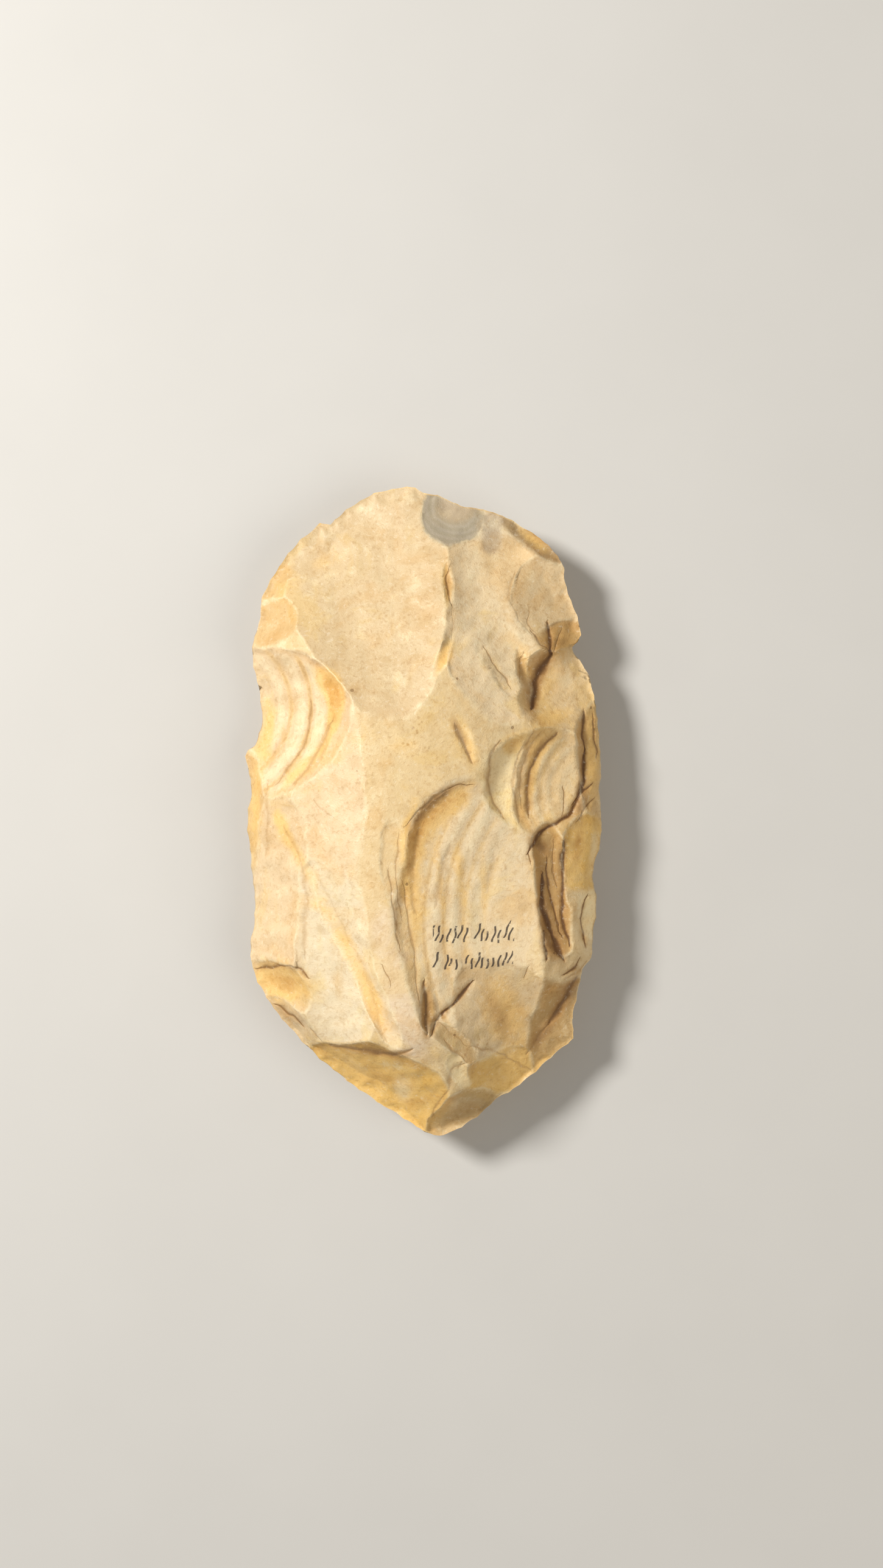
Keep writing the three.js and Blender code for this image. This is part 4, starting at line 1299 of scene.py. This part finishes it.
    def blended_tones(self, x: Array, y: Array, upward: Array) -> tuple[Array, Array]:
        """The tones of both faces, blended over a short way where two scars meet.

        Args:
            x: Places along the first axis, mm.
            y: Places along the second axis, mm.
            upward: Which places are on the upper face.

        Returns:
            A colour for each place, and how sharply the ridge by it stands up.
        """
        stone = self.stone
        turns = np.arange(6) * math.pi / 3
        around = [(reach * math.cos(turn + reach), reach * math.sin(turn + reach))
                  for reach in (0.3, 0.7) for turn in turns]
        tones = np.zeros((len(x), 3))
        sharp = np.zeros(len(x))
        for side, read in ((True, stone.top_sample), (False, stone.bottom_sample)):
            own = np.flatnonzero(upward == side)
            first = read(x[own], y[own])
            tones[own] = self.face_tones(side, first, x[own], y[own])
            near = own[first.ridge < 0.8]
            total = tones[near].copy()
            for dx, dy in around:
                beside = read(x[near] + dx, y[near] + dy)
                total += self.face_tones(side, beside, x[near], y[near])
                sharp[near] += np.minimum(beside.ridge, 1.0) / len(around)
            tones[near] = total / (len(around) + 1)
        return tones, sharp

    def face_tones(self, upper: bool, sample: Sample, x: Array, y: Array) -> Array:
        """The tones of one face's scars, before they are blended."""
        return self.upper_tones(sample, x, y) if upper else self.scar_tones(self.stone.lower, sample)

    @staticmethod
    def scar_tones(face: StruckFace, sample: Sample) -> Array:
        """The tone of the scar that shows at each place, and of the blank where none does."""
        table = np.array([scar.flake.tone.value for scar in face.scars] + [Tone.BEIGE.value])
        return table[sample.owner]

    def upper_tones(self, sample: Sample, x: Array, y: Array) -> Array:
        """The upper face's tones, with the rosy spine that the flakes left standing.

        Args:
            sample: What the face shows at the places.
            x: Places along the first axis, mm.
            y: Places along the second axis, mm.

        Returns:
            A colour for each place.
        """
        tones = self.scar_tones(self.stone.upper, sample)
        spine = np.exp(-(distance_to_route(x, y, self.SPINE) / self.SPINE_BREADTH) ** 4)
        share = (spine * (sample.owner < 0))[:, None]
        return tones * (1 - share) + np.array(Tone.ROSE.value) * share

    def smooth(self, piece: bpy.types.Object) -> None:
        """Shades the piece smooth, apart from its sharp ridges.

        Args:
            piece: The finished piece.
        """
        bpy.ops.object.select_all(action="DESELECT")
        piece.select_set(True)
        bpy.context.view_layer.objects.active = piece
        bpy.ops.object.shade_smooth_by_angle(angle=math.radians(self.smooth_angle))


# ---- Shader maths ----

@dataclass(frozen=True)
class Wire:
    """A number that varies over the surface; a sum with it becomes a Math node."""

    bench: "Bench"
    socket: bpy.types.NodeSocket

    def _sum(self, operation: str, *values: "Wire | float") -> "Wire":
        """Adds one Math node."""
        made = self.bench.node("ShaderNodeMath", {"operation": operation}, dict(enumerate(values)))
        return Wire(self.bench, made.outputs[0])

    def __add__(self, other: "Wire | float") -> "Wire":
        """self + other."""
        return self._sum("ADD", self, other)

    def __radd__(self, other: float) -> "Wire":
        """other + self."""
        return self._sum("ADD", other, self)

    def __sub__(self, other: "Wire | float") -> "Wire":
        """self - other."""
        return self._sum("SUBTRACT", self, other)

    def __rsub__(self, other: float) -> "Wire":
        """other - self."""
        return self._sum("SUBTRACT", other, self)

    def __mul__(self, other: "Wire | float") -> "Wire":
        """self * other."""
        return self._sum("MULTIPLY", self, other)

    def __rmul__(self, other: float) -> "Wire":
        """other * self."""
        return self._sum("MULTIPLY", other, self)

    def __truediv__(self, other: "Wire | float") -> "Wire":
        """self / other."""
        return self._sum("DIVIDE", self, other)

    def __rtruediv__(self, other: float) -> "Wire":
        """other / self."""
        return self._sum("DIVIDE", other, self)

    def __pow__(self, power: float) -> "Wire":
        """self to a power."""
        return self._sum("POWER", self, power)

    def __rpow__(self, base: float) -> "Wire":
        """A base to the power of self."""
        return self._sum("POWER", base, self)

    def __abs__(self) -> "Wire":
        """Size without sign."""
        return self._sum("ABSOLUTE", self)

    def floor(self) -> "Wire":
        """The whole number below."""
        return self._sum("FLOOR", self)

    def wave(self) -> "Wire":
        """Sine of the value."""
        return self._sum("SINE", self)

    def ramp(self, low: float, high: float) -> "Wire":
        """Puts the value on a smooth ramp.

        Args:
            low: Where the ramp is 0; it may be the larger.
            high: Where it is 1.

        Returns:
            The share of the ramp climbed.
        """
        turn = {"interpolation_type": "SMOOTHSTEP"}
        first, last, start, end = (low, high, 0.0, 1.0) if low < high else (high, low, 1.0, 0.0)
        inputs = {"Value": self, "From Min": first, "From Max": last, "To Min": start, "To Max": end}
        return Wire(self.bench, self.bench.node("ShaderNodeMapRange", turn, inputs).outputs[0])


class Bench:
    """Lays out one material's nodes."""

    def __init__(self, name: str) -> None:
        """Starts a material with a Principled shader.

        Args:
            name: The material's name.
        """
        self.material = bpy.data.materials.new(name)
        self.material.use_nodes = True
        self.tree = self.material.node_tree
        self.tree.nodes.clear()
        self.shader = self.node("ShaderNodeBsdfPrincipled", {}, {})
        self.node("ShaderNodeOutputMaterial", {}, {"Surface": self.shader.outputs[0]})
        self.place = self.node("ShaderNodeTexCoord", {}, {}).outputs["Object"]

    def node(self, kind: str, settings: dict[str, object], inputs: dict[object, object]) -> bpy.types.Node:
        """Adds one node.

        Args:
            kind: The node's type.
            settings: Its properties, set first.
            inputs: Values or links of its sockets, by name or number.

        Returns:
            The node.
        """
        made = self.tree.nodes.new(kind)
        for name, value in settings.items():
            setattr(made, name, value)
        for key, value in inputs.items():
            self.plug(made.inputs[key], value)
        return made

    def plug(self, socket: bpy.types.NodeSocket, value: object) -> None:
        """Links a socket or sets its value.

        Args:
            socket: The socket to feed.
            value: A Wire, another socket, a number or a tuple.
        """
        source = value.socket if isinstance(value, Wire) else value
        if isinstance(source, bpy.types.NodeSocket):
            self.tree.links.new(source, socket)
        elif socket.type == "RGBA" and isinstance(source, tuple) and len(source) == 3:
            socket.default_value = (*source, 1.0)
        else:
            socket.default_value = source

    def attribute(self, name: str) -> Wire:
        """A number that the mesh carries at each point."""
        made = self.node("ShaderNodeAttribute", {"attribute_name": name}, {})
        return Wire(self, made.outputs["Fac"])

    def colour_attribute(self, name: str) -> bpy.types.NodeSocket:
        """A colour that the mesh carries at each point."""
        return self.node("ShaderNodeAttribute", {"attribute_name": name}, {}).outputs["Color"]

    def grain(self, size: float, detail: float = 4.0, rough: float = 0.6, swirl: float = 0.0) -> Wire:
        """Cloudy noise.

        Args:
            size: About how wide its clouds are, mm.
            detail: How many finer layers it has.
            rough: How strong the finer layers are.
            swirl: How far the clouds are drawn out of shape.

        Returns:
            Values around 0.5.
        """
        inputs = {"Vector": self.place, "Scale": 1 / (size * MILLIMETRE), "Detail": detail,
                  "Roughness": rough, "Distortion": swirl}
        return Wire(self, self.node("ShaderNodeTexNoise", {}, inputs).outputs["Fac"])

    def cells(self, size: float) -> Wire:
        """Distance from scattered dots, in units of their spacing.

        Args:
            size: Spacing of the dots, mm.

        Returns:
            0 on a dot, about 0.6 midway between them.
        """
        inputs = {"Vector": self.place, "Scale": 1 / (size * MILLIMETRE)}
        return Wire(self, self.node("ShaderNodeTexVoronoi", {}, inputs).outputs["Distance"])

    def mix(self, first: object, second: object, share: Wire | float,
            kind: str = "MIX") -> bpy.types.NodeSocket:
        """Blends two colours.

        Args:
            first: The colour underneath.
            second: The colour laid over it.
            share: How much of the second shows.
            kind: How they blend.

        Returns:
            The blended colour.
        """
        settings = {"data_type": "RGBA", "blend_type": kind, "clamp_factor": True}
        inputs = {0: share, 6: first, 7: second}
        return self.node("ShaderNodeMix", settings, inputs).outputs[2]

    def axes(self) -> tuple[Wire, Wire, Wire]:
        """The place on the piece.

        Returns:
            The place along each axis, in millimetres.
        """
        inputs = {0: self.place, "Scale": 1 / MILLIMETRE}
        grown = self.node("ShaderNodeVectorMath", {"operation": "SCALE"}, inputs)
        split = self.node("ShaderNodeSeparateXYZ", {}, {0: grown.outputs[0]})
        return tuple(Wire(self, socket) for socket in split.outputs)

    def chance(self, value: Wire) -> Wire:
        """A random number from 0 to 1 that belongs to each value."""
        made = self.node("ShaderNodeTexWhiteNoise", {"noise_dimensions": "1D"}, {"W": value})
        return Wire(self, made.outputs["Value"])


# ---- Finishes ----

@dataclass(frozen=True)
class InkRow:
    """One row of slanting pen strokes."""

    left: float
    right: float
    shaded_foot: float
    tall: float
    pitch: float
    seed: float


INK_ROWS: tuple[InkRow, ...] = (
    InkRow(1.9, 16.6, -23.0, 3.0, 1.02, 3.0),
    InkRow(1.6, 16.4, -27.7, 2.8, 0.96, 17.0),
)


@dataclass(frozen=True)
class FlintPatina:
    """Old patinated flint: cream to tan skin, iron stains, steps with soil and painted shade, worn ridges
    with a painted highlight, ripples with painted light and shade, and pen strokes.
    """

    sheets: int
    name: str = "patinated_flint"
    gold: Rgb = (0.84, 0.54, 0.18)
    iron: Rgb = (0.60, 0.29, 0.055)
    rust_and_shade: Rgb = (0.42, 0.23, 0.075)
    soil_and_shade: Rgb = (0.13, 0.055, 0.014)
    chalk_and_highlight: Rgb = (0.90, 0.78, 0.52)
    speck: Rgb = (0.22, 0.11, 0.035)
    ink: Rgb = (0.045, 0.03, 0.025)
    warm_shade: Rgb = (0.90, 0.74, 0.50)
    straw_shade: Rgb = (1.0, 0.92, 0.66)
    brown_mottle: Rgb = (0.52, 0.33, 0.13)
    dust_shade: Rgb = (0.66, 0.52, 0.36)
    dust_light: Rgb = (1.0, 0.95, 0.80)
    ring_light: Rgb = (0.44, 0.38, 0.29)
    bulb_core: Rgb = (0.55, 0.43, 0.29)
    bulb_place: tuple[float, float] = (6.0, 56.2)
    shine: float = 0.42
    gloss_low: float = 0.62
    gloss_high: float = 0.44

    def make(self) -> bpy.types.Material:
        """Makes the material.

        Returns:
            The material, ready for a piece that carries the stone's attributes.
        """
        bench = Bench(self.name)
        clouds = bench.grain(11, 5, 0.6, 0.6)
        mottle = bench.grain(3.2, 6, 0.66, 0.25)
        dust = bench.grain(0.8, 4, 0.62, 0.5)
        cracks = self.cracks(bench)
        colour = bench.colour_attribute("tone")
        colour = bench.mix(colour, self.warm_shade, clouds.ramp(0.48, 0.66) * 0.55, "MULTIPLY")
        colour = bench.mix(colour, self.straw_shade, clouds.ramp(0.47, 0.34) * 0.6, "MULTIPLY")
        colour = bench.mix(colour, self.chalk_and_highlight, mottle.ramp(0.52, 0.70) * 0.32)
        colour = bench.mix(colour, self.brown_mottle, mottle.ramp(0.49, 0.32) * 0.34)
        # Painted highlight with wear on the ripples' lit slopes, and painted shade with stain at their feet.
        crest = bench.attribute("crest")
        colour = bench.mix(colour, self.chalk_and_highlight, crest.ramp(0.1, 0.9) * mottle.ramp(0.2, 0.6) * 0.5)
        colour = bench.mix(colour, self.gold, crest.ramp(-0.05, -0.8) * mottle.ramp(0.25, 0.6) * 0.42)
        colour = bench.mix(colour, self.rust_and_shade, crest.ramp(-0.5, -1.1) * mottle.ramp(0.25, 0.6) * 0.5)
        pitted = bench.attribute("pitted")
        freckles = bench.cells(0.95).ramp(0.42, 0.12) * bench.grain(4.5, 3, 0.5).ramp(0.44, 0.6)
        colour = bench.mix(colour, self.rust_and_shade, freckles * (pitted + 0.1) * 0.8)
        colour = self.iron_stain(bench, colour, clouds, mottle)
        colour = self.dirt_and_shade(bench, colour, mottle, dust, cracks)
        # Painted highlight along the ridges, with their wear.
        colour = bench.mix(colour, self.chalk_and_highlight, bench.attribute("arris_wear_and_highlight") * mottle.ramp(0.3, 0.65) * 0.45)
        colour = bench.mix(colour, self.dust_shade, dust.ramp(0.5, 0.72) * 0.42, "MULTIPLY")
        colour = bench.mix(colour, self.dust_light, dust.ramp(0.44, 0.26) * 0.22)
        colour, specks = self.specks(bench, colour, mottle, pitted)
        colour = self.bands(bench, colour)
        colour = bench.mix(colour, self.ink, self.pen_strokes(bench) * dust.ramp(0.25, 0.45) * 0.92)
        bench.plug(bench.shader.inputs["Base Color"], colour)
        rough = self.gloss_low + (self.gloss_high - self.gloss_low) * mottle.ramp(0.3, 0.7)
        rough = rough + 0.2 * bench.attribute("foot_shade_and_deposit") - 0.06 * bench.attribute("arris_wear_and_highlight")
        bench.plug(bench.shader.inputs["Roughness"], rough)
        bench.plug(bench.shader.inputs["Specular IOR Level"], self.shine)
        bench.plug(bench.shader.inputs["Normal"], self.relief(bench, dust, specks, cracks))
        return bench.material

    def iron_stain(self, bench: Bench, colour: object, clouds: Wire, mottle: Wire) -> bpy.types.NodeSocket:
        """Lays the iron stain in, cloudy at its borders.

        Args:
            bench: The material being made.
            colour: The colour so far.
            clouds: Broad noise.
            mottle: Finer noise.

        Returns:
            The stained colour.
        """
        stain = bench.attribute("stain")
        patchy = stain + (mottle - 0.5) * 0.8 + (clouds - 0.5) * 0.5
        stained = bench.mix(colour, self.gold, patchy.ramp(0.1, 0.6) * 0.8)
        stained = bench.mix(stained, self.iron, patchy.ramp(0.6, 1.25) * 0.75)
        return bench.mix(stained, self.chalk_and_highlight, stain.ramp(-0.05, -0.6) * 0.6)

    def dirt_and_shade(self, bench: Bench, colour: object, mottle: Wire, dust: Wire,
             cracks: list[tuple[Wire, Wire]]) -> bpy.types.NodeSocket:
        """Lays soil and painted shade at the foot of steps, on their walls, in deep hollows and in the
        cracks.

        Args:
            bench: The material being made.
            colour: The colour so far.
            mottle: Middling noise.
            dust: Fine noise.
            cracks: The sheets of cracks.

        Returns:
            The colour with soil and painted shade.
        """
        # Painted shade with iron at the foot of steps, and painted shade with a little soil on their walls.
        shaded_foot = bench.attribute("foot_shade_and_deposit") * mottle.ramp(0.3, 0.62)
        wall = bench.attribute("wall") * dust.ramp(0.3, 0.6)
        # Crack lines in rust and dark brown: dirt in the fissures, and painted shade where a line stands for
        # a step's shadow.
        core = self.crack_mask(cracks, 1.5, 0.0) * dust.ramp(0.0, 0.42)
        halo = self.crack_mask(cracks, 3.4, 0.6) * mottle.ramp(0.2, 0.6)
        colour = bench.mix(colour, self.iron, shaded_foot * 0.45)
        colour = bench.mix(colour, self.rust_and_shade, wall * 0.18)
        colour = bench.mix(colour, self.rust_and_shade, halo * 0.5)
        # Hollows painted rust and dark brown: painted shade, with soil.
        hollow_shade_and_soil = bench.attribute("hollow_shade_and_soil") + (mottle - 0.5) * 0.5
        colour = bench.mix(colour, self.rust_and_shade, hollow_shade_and_soil.ramp(0.05, 0.75) * 0.7)
        colour = bench.mix(colour, self.soil_and_shade, hollow_shade_and_soil.ramp(0.55, 1.2) * 0.6)
        colour = bench.mix(colour, self.rust_and_shade, core * 1.4)
        return bench.mix(colour, self.soil_and_shade, core.ramp(0.25, 0.95) * 0.95)

    def cracks(self, bench: Bench) -> list[tuple[Wire, Wire]]:
        """Reads the sheets of cracks, which are now broader and now narrower along their way.

        Args:
            bench: The material being made.

        Returns:
            For each sheet, the distance from its nearest crack in half breadths, and the dirt and painted
            shade there.
        """
        swell = bench.grain(4, 1).ramp(0.3, 0.7) * 0.9 + 0.65
        return [(abs(bench.attribute(f"crack_gap_{i}")) * swell, bench.attribute(f"crack_dirt_{i}"))
                for i in range(self.sheets)]

    @staticmethod
    def crack_mask(cracks: list[tuple[Wire, Wire]], side: float, middle: float) -> Wire:
        """Draws the cracks at their full fineness.

        Args:
            cracks: The sheets of cracks.
            side: Where the mask ends beside a crack, in half breadths.
            middle: Where it is full, in half breadths.

        Returns:
            The crack's dirt and painted shade in its middle, fading to 0 at its sides.
        """
        lines = [across.ramp(side, middle) * dirt_and_shade for across, dirt_and_shade in cracks]
        return sum(lines[1:], lines[0])

    def specks(self, bench: Bench, colour: object, mottle: Wire,
               pitted: Wire) -> tuple[bpy.types.NodeSocket, Wire]:
        """Scatters brown specks of two sizes.

        Args:
            bench: The material being made.
            colour: The colour so far.
            mottle: Noise that thins them out.
            pitted: Where the skin is pitted.

        Returns:
            The speckled colour and the mask of the specks.
        """
        fine = (bench.cells(1.3) + mottle * 0.12).ramp(0.26, 0.12) * bench.grain(6).ramp(0.46, 0.62)
        fine = fine * (pitted + 0.12)
        coarse = (bench.cells(9) + mottle * 0.06).ramp(0.07, 0.05) * 0.8
        mask = (fine * 0.6 + coarse).ramp(0.0, 1.0)
        return bench.mix(colour, self.speck, mask * 0.7), mask

    def bands(self, bench: Bench, colour: object) -> bpy.types.NodeSocket:
        """Draws the grey rings of bare flint on the end bulb.

        Args:
            bench: The material being made.
            colour: The colour so far.

        Returns:
            The banded colour.
        """
        x, y, _ = bench.axes()
        bulb_x, bulb_y = self.bulb_place
        away = (((x - bulb_x) * 0.95) ** 2.0 + (y - bulb_y) ** 2.0) ** 0.5 + (bench.grain(3) - 0.5) * 1.6
        rings = (away * 5.2).wave().ramp(-1.0, 1.4)
        grey = bench.mix(Tone.GREY.value, self.ring_light, rings)
        ring = away.ramp(2.6, 4.2) * away.ramp(8.4, 6.6) * (10.5 - x).ramp(-0.5, 2.0)
        bulb = bench.attribute("bulb")
        inner = bench.mix(colour, self.bulb_core, bulb * away.ramp(4.6, 1.6) * 0.65)
        return bench.mix(inner, grey, bulb * ring * 0.78)

    def pen_strokes(self, bench: Bench) -> Wire:
        """Draws the rows of pen strokes, on the upper side only.

        Args:
            bench: The material being made.

        Returns:
            The mask of the ink.
        """
        x, y, z = bench.axes()
        wobble = bench.grain(4, 1) * 0.5 - 0.25
        rows = []
        for row in INK_ROWS:
            up = y - row.shaded_foot + wobble
            run = x + wobble - row.left - up * 0.28
            cell = (run / row.pitch).floor()
            luck = bench.chance(cell + row.seed)
            other = bench.chance(cell * 1.7 + row.seed * 3.1)
            lean = run - (cell + 0.5) * row.pitch - (luck - 0.5) * 0.3
            lean = lean - (other - 0.5) * (up - row.tall / 2) * 0.3 - (up * 2.4 + luck * 6.3).wave() * 0.13
            line = abs(lean).ramp(0.25, 0.12)
            bottom = (other - 0.75) * 1.2
            lifted = up - bottom
            tall = row.tall * (0.5 + luck * 0.6)
            length = lifted.ramp(-0.1, 0.1) * (tall - lifted).ramp(-0.1, 0.15)
            ends = (x - row.left).ramp(-0.1, 0.1) * (row.right - x).ramp(-0.1, 0.1)
            rows.append(line * length * ends * other.ramp(0.12, 0.14))
        return sum(rows[1:], rows[0]) * z.ramp(12.0, 14.0)

    def relief(self, bench: Bench, dust: Wire, specks: Wire,
               cracks: list[tuple[Wire, Wire]]) -> bpy.types.NodeSocket:
        """Fine relief: a dusty grain, faint hackles and pits at the specks.

        Args:
            bench: The material being made.
            dust: Fine noise.
            specks: The mask of the specks.
            cracks: The sheets of cracks.

        Returns:
            The bumped normal.
        """
        grit = bench.grain(0.25, 3, 0.6)
        height = dust * 0.6 + grit * 0.25 - specks * 0.5 - self.crack_mask(cracks, 1.4, 0.1) * 0.9
        inputs = {"Strength": 0.6, "Distance": 0.00026, "Height": height}
        return bench.node("ShaderNodeBump", {}, inputs).outputs["Normal"]


@dataclass(frozen=True)
class PaleFloor:
    """Plain pale matt board."""

    name: str = "pale_floor"
    colour: Rgb = (0.62, 0.61, 0.59)
    shade: Rgb = (0.58, 0.57, 0.55)
    rough: float = 0.85

    def make(self) -> bpy.types.Material:
        """Makes the material.

        Returns:
            The material, with faint clouds.
        """
        bench = Bench(self.name)
        bench.plug(bench.shader.inputs["Base Color"], bench.mix(self.colour, self.shade, bench.grain(40, 3)))
        bench.plug(bench.shader.inputs["Roughness"], self.rough)
        return bench.material


# ---- Studio ----

@dataclass(frozen=True)
class Lamp:
    """One soft lamp that looks at the stone."""

    name: str
    place: tuple[float, float, float]
    size: float
    power: float
    colour: Rgb

    def hang(self) -> bpy.types.Object:
        """Hangs the lamp and turns it to the stone.

        Returns:
            The lamp.
        """
        bpy.ops.object.select_all(action="DESELECT")
        bpy.ops.object.light_add(type="AREA", location=self.place)
        lamp = bpy.context.object
        lamp.name = self.name
        lamp.data.shape = "DISK"
        lamp.data.size = self.size
        lamp.data.energy = self.power
        lamp.data.color = self.colour
        aim = Vector(LAMP_AIM) - Vector(self.place)
        lamp.rotation_euler = aim.to_track_quat("-Z", "Y").to_euler()
        return lamp


@dataclass
class Studio:
    """Floor, light and camera."""

    floor_side: float = 3.0
    floor_height: float = -0.0001
    camera_place: tuple[float, float, float] = (0.00346, 0.005, 0.412)
    lens: float = 50.0
    sensor: float = 36.0
    sky: Rgb = (1.0, 0.965, 0.905)
    sky_strength: float = 0.22
    lamps: tuple[Lamp, ...] = (
        Lamp("key", (-0.42, 0.24, 0.48), 0.17, 5.2, (1.0, 0.975, 0.93)),
        Lamp("fill", (0.45, -0.20, 0.55), 0.6, 1.75, (1.0, 0.93, 0.82)),
    )

    def build(self) -> None:
        """Lays the floor, hangs the lamps and sets the camera."""
        bpy.ops.object.select_all(action="DESELECT")
        bpy.ops.mesh.primitive_plane_add(size=self.floor_side, location=(0.0, 0.0, self.floor_height))
        floor = bpy.context.object
        floor.name = "floor"
        floor.data.materials.append(PaleFloor().make())
        for lamp in self.lamps:
            lamp.hang()
        bpy.ops.object.camera_add(location=self.camera_place, rotation=(0, 0, 0))
        camera = bpy.context.object
        camera.name = "camera"
        camera.data.lens = self.lens
        camera.data.sensor_width = self.sensor
        camera.data.clip_start = 0.01
        scene = bpy.context.scene
        scene.camera = camera
        scene.view_settings.view_transform = "Standard"
        self.light_sky(scene)
        LOG.info("studio: floor, %d lamps and camera", len(self.lamps))

    def light_sky(self, scene: bpy.types.Scene) -> None:
        """Sets the soft light all round.

        Args:
            scene: The scene to light.
        """
        world = bpy.data.worlds.new("soft_light")
        world.use_nodes = True
        back = world.node_tree.nodes["Background"]
        back.inputs["Color"].default_value = (*self.sky, 1.0)
        back.inputs["Strength"].default_value = self.sky_strength
        scene.world = world


def main() -> None:
    """Builds the stone and the studio round it."""
    logging.basicConfig(level=logging.INFO, format="%(name)s: %(message)s")
    stone = Stone()
    piece = HandAxe(stone).build()
    piece.data.materials.append(FlintPatina(len(stone.sheets)).make())
    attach(piece, BODY)
    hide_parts(NODE)
    Studio().build()


if __name__ == "__main__":
    main()
